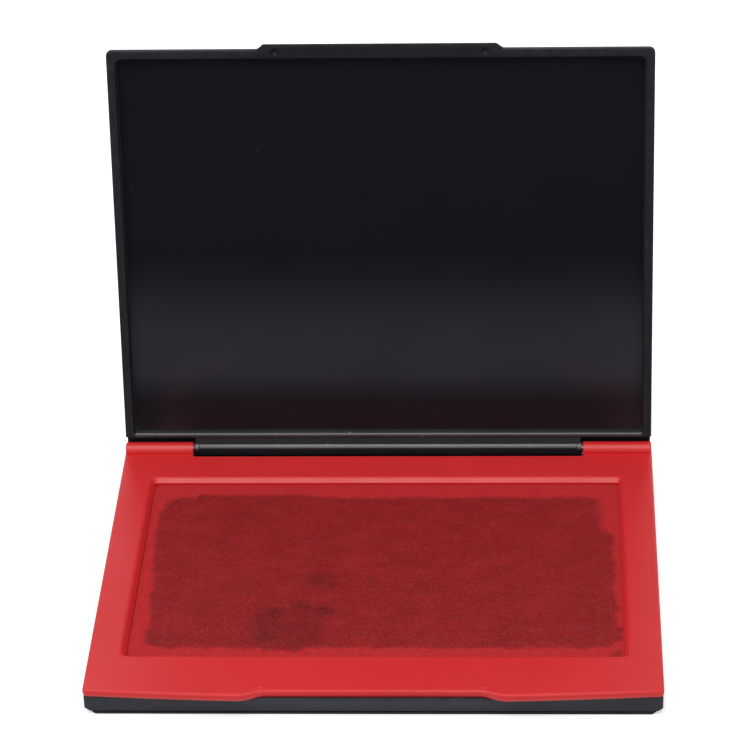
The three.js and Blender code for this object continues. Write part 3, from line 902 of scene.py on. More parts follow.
finish_moulding(red_frame, RED_SATIN)
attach(red_frame, "case")
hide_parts("top_frame")

# %% [markdown]
# The lid is a shallow black tray. It is drawn shut, with the hinge axis at the origin and the rim facing
# down, because every size is plain there, and turned open at the end. The thumb lip is thin at its tip and
# slopes back to the outer face. The panel is dished by a fraction of a millimetre, as thin moulded panels
# are, and that is what bends the reflections in it.

# %% Lid block
LENGTH = 2 * HINGE.y
LID_PANEL = 1.25 * MM
LID_CORNER = 1.2 * MM
CORNER_SPREAD = 0.6
LID_BACK_EDGE = 2.2 * MM
LID_BACK_STEPS = 10
LID_BACK_RUB = 0.3
LID_RIM_EDGE = 0.3 * MM
PANEL_UNDER = HINGE_ROOM + 0.1 * MM
SHUT_GAP = 0.15 * MM
RIM_Z = FRAME_TOP + SHUT_GAP - HINGE.z
LID_TOP = PANEL_UNDER + LID_PANEL
HEEL = 2.5 * MM
LIP_REACH = 1.5 * MM
LIP_ROOT = 28.4 * MM
LIP_TIP = 26.8 * MM
LIP_ROOT_FILLET = 0.6 * MM
LIP_TIP_FILLET = 0.8 * MM
LIP_THIN = 0.55 * MM
LIP_SLOPE = 1.7 * MM
LIP_LEAST = 0.12 * MM


def lid_outline(z, narrower):
    """The lid from above. Its lip reaches out fully near the rim and falls back towards the outer face."""
    fall = min(1, max(0, (z - RIM_Z - LIP_THIN) / LIP_SLOPE))
    reach = LIP_REACH + (LIP_LEAST - LIP_REACH) * fall
    side = HALF_WIDTH - narrower
    front = -LENGTH + narrower
    heel = HEEL - narrower
    corner = LID_CORNER + CORNER_SPREAD * narrower
    return filleted([
        (-side, front, corner), (-LIP_ROOT, front, LIP_ROOT_FILLET),
        (-LIP_TIP, front - reach, LIP_TIP_FILLET), (LIP_TIP, front - reach, LIP_TIP_FILLET),
        (LIP_ROOT, front, LIP_ROOT_FILLET), (side, front, corner),
        (side, heel, corner), (-side, heel, corner),
    ])


def lid_block():
    rings = []
    for come_in, above in quarter(LID_RIM_EDGE)[::-1]:
        wear = rubbed(come_in, LID_RIM_EDGE)
        rings.append(at_height(lid_outline(RIM_Z, come_in), RIM_Z + above, wear))
    for come_in, below in quarter(LID_BACK_EDGE, LID_BACK_STEPS):
        z = LID_TOP - below
        rings.append(at_height(lid_outline(z, come_in), z, rubbed(come_in, LID_BACK_EDGE, LID_BACK_RUB)))
    rings.append(at_height(lid_outline(LID_TOP, LID_BACK_EDGE + HOLD), LID_TOP))
    return loft("lid_shell", rings)


lid = lid_block()
print("lid block in mm:", [round(x / MM, 2) for x in lid.dimensions])

# %% Lid recess
LID_RIM = 2 * MM
LID_RECESS_RADIUS = 1.6 * MM
PANEL_DISH = 0.35 * MM
WALL_SETBACK = 1.4 * MM
WALL_THICKNESS = 1.1 * MM
WALL_OUT = -BARREL_RADIUS - WALL_SETBACK
WALL_IN = WALL_OUT - WALL_THICKNESS
WALL_FILLET = 0.4 * MM
RIM_INNER_EDGE = 0.3 * MM
RIM_INNER_RUB = 0.6
DISH_RINGS = 26
CAP_END = 0.02
RECESS_SIDE = HALF_WIDTH - LID_RIM
RECESS_REAR = (WALL_IN + 2 * WALL_OUT) / 3
RECESS_MIDDLE = (RECESS_REAR - LENGTH + LID_RIM) / 2
RECESS_REACH = (RECESS_REAR + LENGTH - LID_RIM) / 2


def panel_height(x, y):
    """The panel's inner face: flat at its edge, sunk a little in the middle."""
    across = 1 - (x / RECESS_SIDE) ** 2
    along = 1 - ((y - RECESS_MIDDLE) / RECESS_REACH) ** 2
    return PANEL_UNDER + PANEL_DISH * np.clip(across, 0, 1) * np.clip(along, 0, 1)


def crowned_cap(outline, middle_y, height_at, rings):
    """Rings that shrink an outline towards its middle, each point at the height that a rule gives."""
    middle = [0, middle_y]
    cap = []
    for share in np.linspace(1, CAP_END, rings):
        points = (outline - middle) * share + middle
        cap.append(at_height(points, height_at(points[:, 0], points[:, 1])))
    return cap


def lid_recess():
    """The space inside the rim, flared at its mouth so that the rim's inner edge comes out rounded."""
    mouth = rounded_box_outline(RECESS_SIDE, -LENGTH + LID_RIM, RECESS_REAR, LID_RECESS_RADIUS)
    rings = [at_height(inset(mouth, -RIM_INNER_EDGE), RIM_Z - OVERRUN)]
    for back, above in quarter(RIM_INNER_EDGE)[::-1]:
        wear = rubbed(back, RIM_INNER_EDGE, RIM_INNER_RUB)
        rings.append(at_height(inset(mouth, -back), RIM_Z + above, wear))
    for come_in, below in quarter(WALL_FILLET):
        rings.append(at_height(inset(mouth, come_in), PANEL_UNDER - below))
    inner = inset(mouth, WALL_FILLET + HOLD)
    return loft("recess", rings + crowned_cap(inner, RECESS_MIDDLE, panel_height, DISH_RINGS))


combine(lid, lid_recess(), "DIFFERENCE")
print("lid recess is", round(2 * RECESS_SIDE / MM, 1), "by", round(2 * RECESS_REACH / MM, 1), "mm")

# %% [markdown]
# On its hinge side the lid has a wall, a web that slopes down from it, and a rounded knuckle bar between
# the two barrels. Each is a straight bar with its own section, joined on. A space behind the wall is cut
# out first, so that the barrels have room. A collar at each end of the bar runs against its barrel.

# %% Lid hinge wall and web
BAR_SECTIONS = 24
PANEL_FILLET = 0.3 * MM
WALL_BEVEL = 0.2 * MM
WALL_ROUND = 0.75 * MM
WALL_CREASE = 0.1 * MM
KNUCKLE_GAP = 0.4 * MM
KNUCKLE_HALF = BARREL_INNER_END - KNUCKLE_GAP
WEB_STEP = 0.06 * MM
WEB_ROOT = 0.3 * MM
WEB_TOP = 0.35 * MM
WEB_FOOT = Vector((-0.6, -0.65)) * MM
embedded = PANEL_UNDER + LID_PANEL / 2
below_rim = RIM_Z - OVERRUN
behind_heel = HEEL + OVERRUN
bevelled = WALL_OUT - WALL_BEVEL

hinge_space = filleted([
    (WALL_OUT, below_rim, 0), (behind_heel, below_rim, 0), (behind_heel, PANEL_UNDER, 0),
    (WALL_OUT, PANEL_UNDER, PANEL_FILLET), (WALL_OUT, RIM_Z + WALL_BEVEL, 0), (bevelled, RIM_Z, 0),
    (bevelled, below_rim, 0),
])
combine(lid, bar_along_x("hinge space", hinge_space, HALF_WIDTH + OVERRUN), "DIFFERENCE")
wall = filleted([
    (WALL_IN, embedded, 0), (WALL_IN, RIM_Z, WALL_ROUND),
    (WALL_OUT, RIM_Z, WALL_CREASE), (WALL_OUT, embedded, 0),
])
combine(lid, bar_along_x("hinge wall", wall, RECESS_SIDE + LID_RIM / 4, BAR_SECTIONS), "UNION")
web_start = WALL_OUT - WEB_ROOT
web_low = RIM_Z + WEB_FOOT.y
web = filleted([
    (web_start, RIM_Z + WEB_TOP, 0), (WEB_FOOT.x, web_low, 0), (0, web_low, 0),
    (0, embedded, 0), (web_start, embedded, 0),
])
combine(lid, bar_along_x("web", web, KNUCKLE_HALF - 2 * WEB_STEP, BAR_SECTIONS), "UNION")
print("lid with its hinge wall has", len(lid.data.polygons), "faces")

# %% Lid knuckle bar
KNUCKLE_RADIUS = BARREL_RADIUS - 0.1 * MM
KNUCKLE_TRIM = 0.15 * MM
BAR_TOP = 1.5 * MM
BAR_ROUNDS = (0.3 * MM, 0.9 * MM, 0.5 * MM, 1.4 * MM)
COLLAR_WIDTH = 1.1 * MM
COLLAR_PROUD = 0.25 * MM
COLLAR_CHAMFERS = (0.15 * MM, 0.15 * MM)
PIN_IN_KNUCKLE = 8 * MM
PIN_RUN_GAP = 0.15 * MM
PIN_END_GAP = 0.5 * MM

front, back = KNUCKLE_TRIM - KNUCKLE_RADIUS, KNUCKLE_RADIUS
bar_corners = [(front, -KNUCKLE_RADIUS), (back, -KNUCKLE_RADIUS), (back, BAR_TOP), (front, BAR_TOP)]
bar_when_open = filleted([(*corner, radius) for corner, radius in zip(bar_corners, BAR_ROUNDS)])
bar_when_shut = bar_when_open @ np.array(Matrix.Rotation(OPEN_ANGLE, 2)).T
combine(lid, bar_along_x("knuckle bar", bar_when_shut, KNUCKLE_HALF - WEB_STEP, BAR_SECTIONS), "UNION")
collar_ends = (KNUCKLE_HALF - COLLAR_WIDTH, KNUCKLE_HALF + COLLAR_PROUD)
collars = rod_pair("collars", black_rods, *collar_ends, BARREL_RADIUS, *COLLAR_CHAMFERS)
combine(lid, collars, "UNION")
bore_ends = (KNUCKLE_HALF - PIN_IN_KNUCKLE - PIN_END_GAP, KNUCKLE_HALF + OVERRUN)
pin_bores = rod_pair("pin bores", black_rods, *bore_ends, PIN_RADIUS + PIN_RUN_GAP, *BORE_CHAMFERS)
combine(lid, pin_bores, "DIFFERENCE")
print("knuckle bar is", round(2 * KNUCKLE_HALF / MM, 1), "mm long")

# %% Lid latch dimples, finish and place
DIMPLE_DEPTH = 0.6 * MM
DIMPLE_RADIUS = 0.95 * MM
DIMPLE_SETBACK = 0.5 * MM
PANEL_BAND = 0.75 * MM
PANEL_FACING = 0.9
EDGE_FACING = 0.55
BAR_FACING = 0.9
BAR_MARGIN = 0.2 * MM
PANEL, BURNISHED, SCUFFED_HIGHLIGHT = 1, 2, 3

dimples = {"Offset": LATCH_OFFSET, "Y": -LENGTH + DIMPLE_SETBACK, "Face": RIM_Z,
           "Foot Radius": DIMPLE_RADIUS, "Rise": DIMPLE_DEPTH}
combine(lid, grow("dimples", black_domes, dimples), "DIFFERENCE")
finish_moulding(lid, LID_RIM_BLACK)
for finish in (LID_PANEL_BLACK, BURNISHED_BLACK, SCUFFED_HIGHLIGHT_BLACK):
    lid.data.materials.append(finish)
opened = Matrix.Rotation(OPEN_ANGLE, 3, "X")
edge_up = opened @ Vector((0, -1, 1)).normalized()
bar_highlight_up = opened @ Vector((0, -1, 1.15)).normalized()
for face in lid.data.polygons:
    inside = abs(face.center.x) < RECESS_SIDE and -LENGTH + LID_RIM < face.center.y < WALL_IN
    if inside and face.normal.z < -PANEL_FACING and face.center.z > PANEL_UNDER - PANEL_BAND:
        face.material_index = PANEL
    if WALL_IN - MERGE < face.center.y < WALL_OUT + MERGE and face.normal.dot(edge_up) > EDGE_FACING:
        face.material_index = BURNISHED
    # Bar faces that face the lamp get the grey scuffed finish: scuffing plus a painted highlight.
    if face.center.y > -KNUCKLE_RADIUS - BAR_MARGIN and face.normal.dot(bar_highlight_up) > BAR_FACING:
        face.material_index = SCUFFED_HIGHLIGHT
lid.data.transform(Matrix.Translation(HINGE) @ Matrix.Rotation(-OPEN_ANGLE, 4, "X"))
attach(lid, "lid")
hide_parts("lid")
print("lid in mm:", [round(x / MM, 2) for x in lid.dimensions])

# %% [markdown]
# Two short pins of drawn steel wire join the lid to the barrels. Only their cut ends show, sunk a little in
# the barrels. The paired rods tree makes both. Drawn wire has fine lines along its length, so the finish
# stretches its noise along X.

# %% Hinge pins
PIN_INSET = 0.3 * MM
PIN_CHAMFERS = (0.15 * MM, 0.15 * MM)
WIRE_STRETCH = (0.05, 1, 1)
WIRE_GRAIN = 0.08 * MM
WIRE_DEPTH = 0.004 * MM
WIRE_GREYS = ((0.46, 0.47, 0.49, 1), (0.60, 0.61, 0.63, 1))
WIRE_GLOSS = (0.24, 0.38)


def drawn_steel():
    material, tree, shader, place = new_finish("drawn steel wire")
    stretched = add(tree, "ShaderNodeMapping", {"Vector": place, "Scale": WIRE_STRETCH}).outputs[0]
    lines = noise(tree, stretched, WIRE_GRAIN, detail=3.0, seed=6.0)
    link(tree, mix_colour(tree, spread(tree, lines, *NOISE_RANGE), *WIRE_GREYS), shader, "Base Color")
    link(tree, spread(tree, lines, *NOISE_RANGE, *WIRE_GLOSS), shader, "Roughness")
    link(tree, emboss(tree, lines, WIRE_DEPTH), shader, "Normal")
    set_evenly(shader, {"Metallic": 1.0})
    return material


STEEL = drawn_steel()
pin_ends = (KNUCKLE_HALF - PIN_IN_KNUCKLE, HALF_WIDTH - PIN_INSET)
pins = on_hinge(rod_pair("hinge_pins", paired_rods(STEEL), *pin_ends, PIN_RADIUS, *PIN_CHAMFERS))
finish_moulding(pins, STEEL)
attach(pins, "case")
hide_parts("hinge_pin_left", "hinge_pin_right")

# %% [markdown]
# Under the cloth lies a die-cut slab of felt that stores the ink, on a board that keeps it flat. The felt
# swells a little towards the middle. Nobody sees it in the finished object, but it carries the cloth, so
# its top follows the same swell as the cloth does. Felt is a mat of short fibres: soft lumps, then fuzz.

# %% Pad swell
PAD_CROWN = pad_high.z - BASE_TOP
SWELL_POWER = 32
FOLD_RADIUS = 0.6 * MM
LAND_SETBACK = 0.45 * MM
LAND_HALF = PAD_HALF - Vector((FOLD_RADIUS, FOLD_RADIUS + LAND_SETBACK))


def pad_swell(x, y):
    """Rise of the pad above its edge: none under the frame, most over the middle."""
    across = 1 - np.clip(abs(x) / LAND_HALF.x, 0, 1) ** SWELL_POWER
    along = 1 - np.clip(abs(y) / LAND_HALF.y, 0, 1) ** SWELL_POWER
    return PAD_CROWN * across * along


print("the pad swells by", round(PAD_CROWN / MM, 2), "mm")

# %% Felt and board finishes
LUMP_GRAIN = 3 * MM
FELT_FUZZ_GRAIN = 0.12 * MM
FELT_FUZZ_DEPTH = 0.08 * MM
FELT_REDS = ((0.16, 0.012, 0.018, 1), (0.27, 0.022, 0.030, 1))
FELT_FUZZ = (0.42, 0.06, 0.07, 1)
PULP_GRAIN = 1.2 * MM
PULP_DEPTH = 0.03 * MM
FIBRE_GRAIN = 0.15 * MM
BOARD_GREYS = ((0.33, 0.31, 0.28, 1), (0.50, 0.48, 0.44, 1))


def inked_felt():
    material, tree, shader, place = new_finish("inked felt")
    lumps = noise(tree, place, LUMP_GRAIN, detail=4.0, seed=7.0)
    fuzz = noise(tree, place, FELT_FUZZ_GRAIN, detail=3.0, seed=8.0)
    wet = mix_colour(tree, spread(tree, lumps, *NOISE_RANGE), *FELT_REDS)
    stray = spread(tree, fuzz, 0.5, 0.8, 0, 0.4)
    link(tree, mix_colour(tree, stray, wet, FELT_FUZZ), shader, "Base Color")
    link(tree, spread(tree, fuzz, *NOISE_RANGE, 0.85, 1.0), shader, "Roughness")
    link(tree, emboss(tree, fuzz, FELT_FUZZ_DEPTH), shader, "Normal")
    return material


def pressed_board():
    material, tree, shader, place = new_finish("pressed grey board")
    pulp = noise(tree, place, PULP_GRAIN, detail=5.0, roughness=0.65, seed=9.0)
    fibre = noise(tree, place, FIBRE_GRAIN, detail=2.0, seed=10.0)
    link(tree, mix_colour(tree, pulp, *BOARD_GREYS), shader, "Base Color")
    link(tree, spread(tree, fibre, *NOISE_RANGE, 0.75, 0.95), shader, "Roughness")
    link(tree, emboss(tree, pulp, PULP_DEPTH), shader, "Normal")
    return material


FELT = inked_felt()
board = frame["nodes"]["backing_board"]
board.material_slots[0].material = pressed_board()
print("finish of", board.name, "is", board.material_slots[0].material.name)

# %% Felt slab
FELT_EDGE = 0.35 * MM
FELT_CORNER = 0.6 * MM
FELT_RINGS = 40


def felt_slab():
    low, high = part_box("ink_felt")
    edge_top = high.z - PAD_CROWN
    plan = rounded_box_outline(high.x, low.y, high.y, FELT_CORNER)
    rings = [at_height(inset(plan, FELT_EDGE), low.z), at_height(plan, low.z + FELT_EDGE)]
    rings += [at_height(inset(plan, come_in), edge_top - down) for come_in, down in quarter(FELT_EDGE)]
    inner = inset(plan, FELT_EDGE + HOLD)
    top = crowned_cap(inner, 0, lambda x, y: edge_top + pad_swell(x, y), FELT_RINGS)
    return loft("felt_slab", rings + top)


felt = felt_slab()
finish_moulding(felt, FELT)
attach(felt, "case")
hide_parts("ink_felt")

# %% [markdown]
# The cloth is what a stamp touches: woven cotton stretched over the felt and tucked down its four sides. A
# rule makes it well: a fine grid, lifted by the swell and by uneven threads, whose border is drawn out and
# folded down step by step. Solidify then gives it the thickness of cloth.

# %% Cloth tree
FOLD_STEPS = 3
CLOTH_CELL = 0.62 * MM
SLUB_GRAIN = 1.1 * MM
EDGE_MARGIN = 1e-6


def swell_along(tree, place, half):
    """One minus a high power of a place's share of the way to the edge."""
    share = maths(tree, "DIVIDE", maths(tree, "ABSOLUTE", place), half, clamp=True)
    return maths(tree, "SUBTRACT", 1.0, maths(tree, "POWER", share, SWELL_POWER))


def drawn_out(tree, place, edge, reach):
    """A place at the cloth's edge is drawn out to a reach, on its own side. Other places stay."""
    near_edge = maths(tree, "SUBTRACT", edge, EDGE_MARGIN)
    at_edge = maths(tree, "GREATER_THAN", maths(tree, "ABSOLUTE", place), near_edge)
    pulled = maths(tree, "MULTIPLY", maths(tree, "SIGN", place), reach)
    kept = maths(tree, "MULTIPLY", place, maths(tree, "SUBTRACT", 1.0, at_edge))
    return maths(tree, "MULTIPLY_ADD", pulled, at_edge, kept)


def flat_cloth(tree, size, edges):
    """The top of the cloth: a fine grid, lifted by the swell and by the uneven threads."""
    cells = {}
    for axis, edge, half in zip("XY", edges, PAD_HALF):
        cells[f"Size {axis}"] = maths(tree, "MULTIPLY", edge, 2.0)
        cells[f"Vertices {axis}"] = round(2 * half / CLOTH_CELL)
    grid = add(tree, "GeometryNodeMeshGrid", cells).outputs[0]
    position = add(tree, "GeometryNodeInputPosition").outputs[0]
    place = parts_of(tree, position)
    across = swell_along(tree, place[0], size["Land X"])
    along = swell_along(tree, place[1], size["Land Y"])
    thread = noise(tree, position, SLUB_GRAIN, detail=2.0, seed=11.0)
    uneven = maths(tree, "MULTIPLY", maths(tree, "SUBTRACT", thread, 0.5), size["Slub"])
    inside = maths(tree, "MULTIPLY", across, along)
    lift = maths(tree, "MULTIPLY", maths(tree, "ADD", size["Crown"], uneven), inside)
    raised = vector(tree, z=maths(tree, "ADD", size["Top"], lift))
    return add(tree, "GeometryNodeSetPosition", {"Geometry": grid, "Offset": raised}).outputs[0]


def cloth_rule(material):
    """The flat top, whose border is drawn out round the fold and then straight down to the foot."""
    names = ["Half X", "Half Y", "Land X", "Land Y", "Top", "Crown", "Fold", "Foot", "Slub"]
    tree, size = new_tree("stretched cloth", names)
    edges = [maths(tree, "SUBTRACT", size[half], size["Fold"]) for half in ("Half X", "Half Y")]
    cloth = flat_cloth(tree, size, edges)
    faces = add(tree, "GeometryNodeInputMeshEdgeNeighbors").outputs[0]
    rim = add(tree, "FunctionNodeCompare", {2: faces, 3: 1}, data_type="INT", operation="EQUAL").outputs[0]
    stages = []
    for turn in np.linspace(0, math.pi / 2, FOLD_STEPS + 1)[1:]:
        level = maths(tree, "MULTIPLY_ADD", size["Fold"], math.cos(turn) - 1, size["Top"])
        stages.append((math.sin(turn), level))
    stages.append((1.0, size["Foot"]))
    for out, level in stages:
        pull = {"Mesh": cloth, "Selection": rim, "Offset Scale": 0.0}
        drawn = add(tree, "GeometryNodeExtrudeMesh", pull, mode="EDGES").outputs
        place = parts_of(tree, add(tree, "GeometryNodeInputPosition").outputs[0])
        reaches = [maths(tree, "MULTIPLY_ADD", size["Fold"], out, edge) for edge in edges]
        moved = [drawn_out(tree, place[i], edges[i], reaches[i]) for i in range(2)]
        new_place = vector(tree, *moved, level)
        moving = {"Geometry": drawn["Mesh"], "Selection": drawn["Top"], "Position": new_place}
        cloth = add(tree, "GeometryNodeSetPosition", moving).outputs[0]
        rim = drawn["Top"]
    end_tree(tree, cloth, material)
    return tree


print("cloth cells of", round(CLOTH_CELL / MM, 2), "mm, folded in", FOLD_STEPS, "steps")

# %% [markdown]
# The finish of the cloth is the heart of the picture. A plain weave of cotton threads carries red ink. The
# used middle is soaked darker and stops short of the frame with a ragged edge, a few blotches are darker
# still, and a dry red margin is left all round. Each soaked area is a rounded box whose edge is pushed
# about by noise.

# %% Where the ink lies
# Each area: centre, half size and corner radius in millimetres, softness of its edge, and strength.
SOAKED = [
    ((0.85, -0.9), (52.65, 31.4), 5.0, 1.0, 1.0),
    ((-30.0, 29.3), (15.0, 2.4), 2.0, 0.9, 1.0),
    ((-50.4, 11.0), (2.2, 14.0), 2.0, 0.9, 1.0),
    ((-49.5, -28.6), (2.4, 1.8), 1.6, 0.7, 1.0),
    ((-21.0, -31.2), (5.0, 2.2), 2.0, 0.9, 1.0),
    ((52.0, -26.5), (2.6, 3.2), 2.2, 0.8, 1.0),
    ((53.4, -34.4), (1.4, 1.2), 1.2, 0.7, 0.8),
]
DRY_CORNERS = [
    ((54.8, 26.5), (4.2, 11.5), 4.2, 1.8, 1.0),
    ((53.0, 33.0), (4.6, 4.0), 4.0, 1.6, 1.0),
    ((-55.0, 33.0), (3.0, 3.5), 3.0, 1.4, 1.0),
    ((-54.0, -22.0), (3.2, 3.5), 2.6, 1.2, 1.0),
]
BLOTCHES = [
    ((-19.5, -24.5), (7.2, 7.4), 3.0, 2.2, 0.40),
    ((-23.9, -24.0), (3.2, 7.2), 2.6, 2.2, 0.68),
    ((-12.4, -17.8), (1.8, 2.0), 1.8, 1.8, 0.78),
    ((-17.2, -15.6), (1.9, 1.8), 1.8, 1.8, 0.72),
    ((-13.6, -5.6), (3.2, 3.6), 2.4, 2.4, 0.52),
    ((-2.2, -7.0), (1.2, 3.6), 1.2, 1.2, 0.20),
    ((-30.0, 20.0), (8.0, 4.5), 4.0, 3.5, 0.14),
    ((-49.6, -28.6), (2.0, 1.4), 1.4, 1.2, 0.25),
    ((49.2, -4.0), (2.2, 24.0), 2.2, 2.2, 0.10),
]


def soaked_area(tree, place, centre, half, radius, softness):
    """1 inside a rounded box on the pad, 0 outside it, with a soft edge. Lengths are in millimetres."""
    arms = vector_maths(tree, "SUBTRACT", place, (centre[0] * MM, centre[1] * MM, 0))
    core = (max(half[0] - radius, 0) * MM, max(half[1] - radius, 0) * MM, 1)
    past = vector_maths(tree, "SUBTRACT", vector_maths(tree, "ABSOLUTE", arms), core)
    past = vector_maths(tree, "MAXIMUM", past, (0, 0, 0))
    away = add(tree, "ShaderNodeVectorMath", {0: past}, operation="LENGTH").outputs["Value"]
    low, high = (radius - softness) * MM, (radius + softness) * MM
    return spread(tree, away, low, high, 1.0, 0.0, smooth=True)


def areas(tree, place, listed):
    """The union of several areas, each as strong as it says."""
    whole = None
    for *box, strength in listed:
        spot = maths(tree, "MULTIPLY", soaked_area(tree, place, *box), strength)
        whole = spot if whole is None else maths(tree, "MAXIMUM", whole, spot)
    return whole


print("ink lies in", len(SOAKED), "areas with", len(BLOTCHES), "blotches")

# %% Weave
WARP_PITCH = 0.46 * MM
WEFT_PITCH = 0.40 * MM


def moved_by(tree, place, push, reach):
    """The place, pushed about by noise up to half a reach each way."""
    return vector_maths(tree, "MULTIPLY_ADD", push, (reach, reach, 0), place)


def weave_height(tree, place):
    """A plain weave: round threads both ways, each on top at every other crossing."""
    thread = parts_of(tree, place)
    across = maths(tree, "MULTIPLY", thread[0], math.pi / WARP_PITCH)
    along = maths(tree, "MULTIPLY", thread[1], math.pi / WEFT_PITCH)
    warp = maths(tree, "ABSOLUTE", maths(tree, "COSINE", across))
    weft = maths(tree, "ABSOLUTE", maths(tree, "COSINE", along))
    over = maths(tree, "MULTIPLY", maths(tree, "SINE", across), maths(tree, "SINE", along))
    over = spread(tree, over, -0.5, 0.5, smooth=True)
    under = maths(tree, "SUBTRACT", 1.0, over)
    return maths(tree, "ADD", maths(tree, "MULTIPLY", warp, over), maths(tree, "MULTIPLY", weft, under))


print("threads every", round(WARP_PITCH / MM, 2), "and", round(WEFT_PITCH / MM, 2), "mm")

# %% Inked cloth
DRY_RED = (0.440, 0.0170, 0.0195, 1)
SOAKED_RED = (0.216, 0.0062, 0.0077, 1)
BLOTCH_RED = (0.100, 0.0030, 0.0046, 1)
FIBRE_PINK = (0.60, 0.22, 0.23, 1)
RAGGED_GRAIN = 4 * MM
RAGGED_REACH = 3.0 * MM
THREAD_WANDER = 0.5 * MM
CLOUD_GRAIN = 5 * MM
CLOUD_STRETCH = (0.6, 1.0, 1.0)
HEATHER_GRAIN = 0.85 * MM
FUZZ_GRAIN = 0.55 * MM
BLOTCH_GRAIN = 2.2 * MM
LINT_LOW, LINT_HIGH = -33 * MM, 10 * MM
WEAVE_DEPTH = 0.05 * MM


def cloth_ink(tree, place, push, heather):
    """How much ink each place holds, from 0 to 1, and how much of it is blotched."""
    ragged = moved_by(tree, place, push, RAGGED_REACH)
    dry = areas(tree, ragged, DRY_CORNERS)
    wet = maths(tree, "SUBTRACT", areas(tree, ragged, SOAKED), dry, clamp=True)
    stretched = add(tree, "ShaderNodeMapping", {"Vector": place, "Scale": CLOUD_STRETCH}).outputs[0]
    cloud = noise(tree, stretched, CLOUD_GRAIN, detail=5.0, roughness=0.62, seed=12.0)
    ink = maths(tree, "MULTIPLY", wet, spread(tree, cloud, 0.28, 0.70, 1.10, 0.69), clamp=True)
    ink = maths(tree, "MULTIPLY", ink, spread(tree, heather, *NOISE_RANGE, 1.05, 0.94), clamp=True)
    patch = noise(tree, place, BLOTCH_GRAIN, detail=3.0, seed=15.0)
    blotched = maths(tree, "MULTIPLY", areas(tree, ragged, BLOTCHES), wet)
    dark = maths(tree, "MULTIPLY", blotched, spread(tree, patch, 0.3, 0.65, 0.6, 1.15), clamp=True)
    return ink, dark


def woven_cloth():
    material, tree, shader, place = new_finish("inked woven cotton")
    wander = add(tree, "ShaderNodeTexNoise", {"Vector": place, "Scale": 1 / RAGGED_GRAIN, "Detail": 4.0})
    push = vector_maths(tree, "SUBTRACT", wander.outputs["Color"], (0.5, 0.5, 0.5))
    heather = noise(tree, place, HEATHER_GRAIN, detail=1.0, seed=13.0)
    fuzz = noise(tree, place, FUZZ_GRAIN, detail=1.0, seed=14.0)
    ink, dark = cloth_ink(tree, place, push, heather)
    colour = mix_colour(tree, dark, mix_colour(tree, ink, DRY_RED, SOAKED_RED), BLOTCH_RED)
    weave = weave_height(tree, moved_by(tree, place, push, THREAD_WANDER))
    threads = spread(tree, weave, 0.1, 0.95, 0.88, 1.06)
    grain = maths(tree, "MULTIPLY", threads, spread(tree, heather, *NOISE_RANGE, 0.945, 1.055))
    tone = add(tree, "ShaderNodeVectorMath", {0: colour, "Scale": grain}, operation="SCALE").outputs[0]
    lintier = spread(tree, parts_of(tree, place)[1], LINT_LOW, LINT_HIGH, 1.8, 1.0)
    pale = maths(tree, "MULTIPLY", spread(tree, fuzz, 0.45, 0.80, 0.0, 0.048), lintier)
    link(tree, mix_colour(tree, pale, tone, FIBRE_PINK), shader, "Base Color")
    link(tree, spread(tree, ink, 0.0, 1.0, 0.90, 0.74), shader, "Roughness")
    relief = maths(tree, "ADD", maths(tree, "MULTIPLY", weave, 0.6), maths(tree, "MULTIPLY", fuzz, 0.5))
    link(tree, emboss(tree, relief, WEAVE_DEPTH), shader, "Normal")
    set_evenly(shader, {"Specular IOR Level": 0.18, "Sheen Weight": 0.03, "Sheen Roughness": 0.4,
                        "Sheen Tint": (0.9, 0.35, 0.35, 1)})
    return material


CLOTH = woven_cloth()
print("cloth finish has", len(CLOTH.node_tree.nodes), "nodes")

# %% Cloth sheet
CLOTH_THICKNESS = 0.45 * MM
SLUB_HEIGHT = 0.05 * MM
cloth_sizes = {
    "Half X": PAD_HALF.x, "Half Y": PAD_HALF.y, "Land X": LAND_HALF.x, "Land Y": LAND_HALF.y,
    "Top": BASE_TOP, "Crown": PAD_CROWN, "Fold": FOLD_RADIUS, "Foot": pad_low.z, "Slub": SLUB_HEIGHT,
}
cover = grow("pad_cover", cloth_rule(CLOTH), cloth_sizes)
cover.data.shade_smooth()
thicken = cover.modifiers.new("cloth thickness", "SOLIDIFY")
thicken.thickness = CLOTH_THICKNESS
thicken.offset = -1
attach(cover, "case")
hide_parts("pad_cloth")

# %% [markdown]
# A plain white table and soft light, as for a catalogue picture. One large soft lamp hangs over the front
# of the pad and does most of the work, so the back of the frame is not left in the lid's shade. The room is
# a dim white that fills the shadows. The camera and shiny surfaces both see the room as pure white. The
# table is lifted to white for the camera, and less for what mirrors it, as a table seen in satin plastic is
# never pure white.

# %% Table
TABLE_HALF = 2.5
TABLE_WHITES = ((0.90, 0.90, 0.90, 1), (0.915, 0.915, 0.915, 1))
TABLE_GRAIN = 300 * MM
TABLE_LIFT = 0.5
MIRROR_LIFT = 0.1
MATT = {"Roughness": 1.0, "Specular IOR Level": 0.0}


def seen_in_mirrors(tree):
    """1 for what a mirror or glass shows, 0 for everything else."""
    path = add(tree, "ShaderNodeLightPath").outputs
    return maths(tree, "ADD", path["Is Glossy Ray"], path["Is Transmission Ray"], clamp=True)


def seen_by_camera(tree):
    return add(tree, "ShaderNodeLightPath").outputs["Is Camera Ray"]


def white_table():
    material, tree, shader, place = new_finish("white table")
    cloud = noise(tree, place, TABLE_GRAIN, seed=16.0)
    link(tree, mix_colour(tree, cloud, *TABLE_WHITES), shader, "Base Color")
    set_evenly(shader, {**MATT, "Emission Color": (1, 1, 1, 1)})
    mirrored = maths(tree, "MULTIPLY", seen_in_mirrors(tree), MIRROR_LIFT)
    lift = maths(tree, "MULTIPLY_ADD", seen_by_camera(tree), TABLE_LIFT, mirrored)
    link(tree, lift, shader, "Emission Strength")
    return material


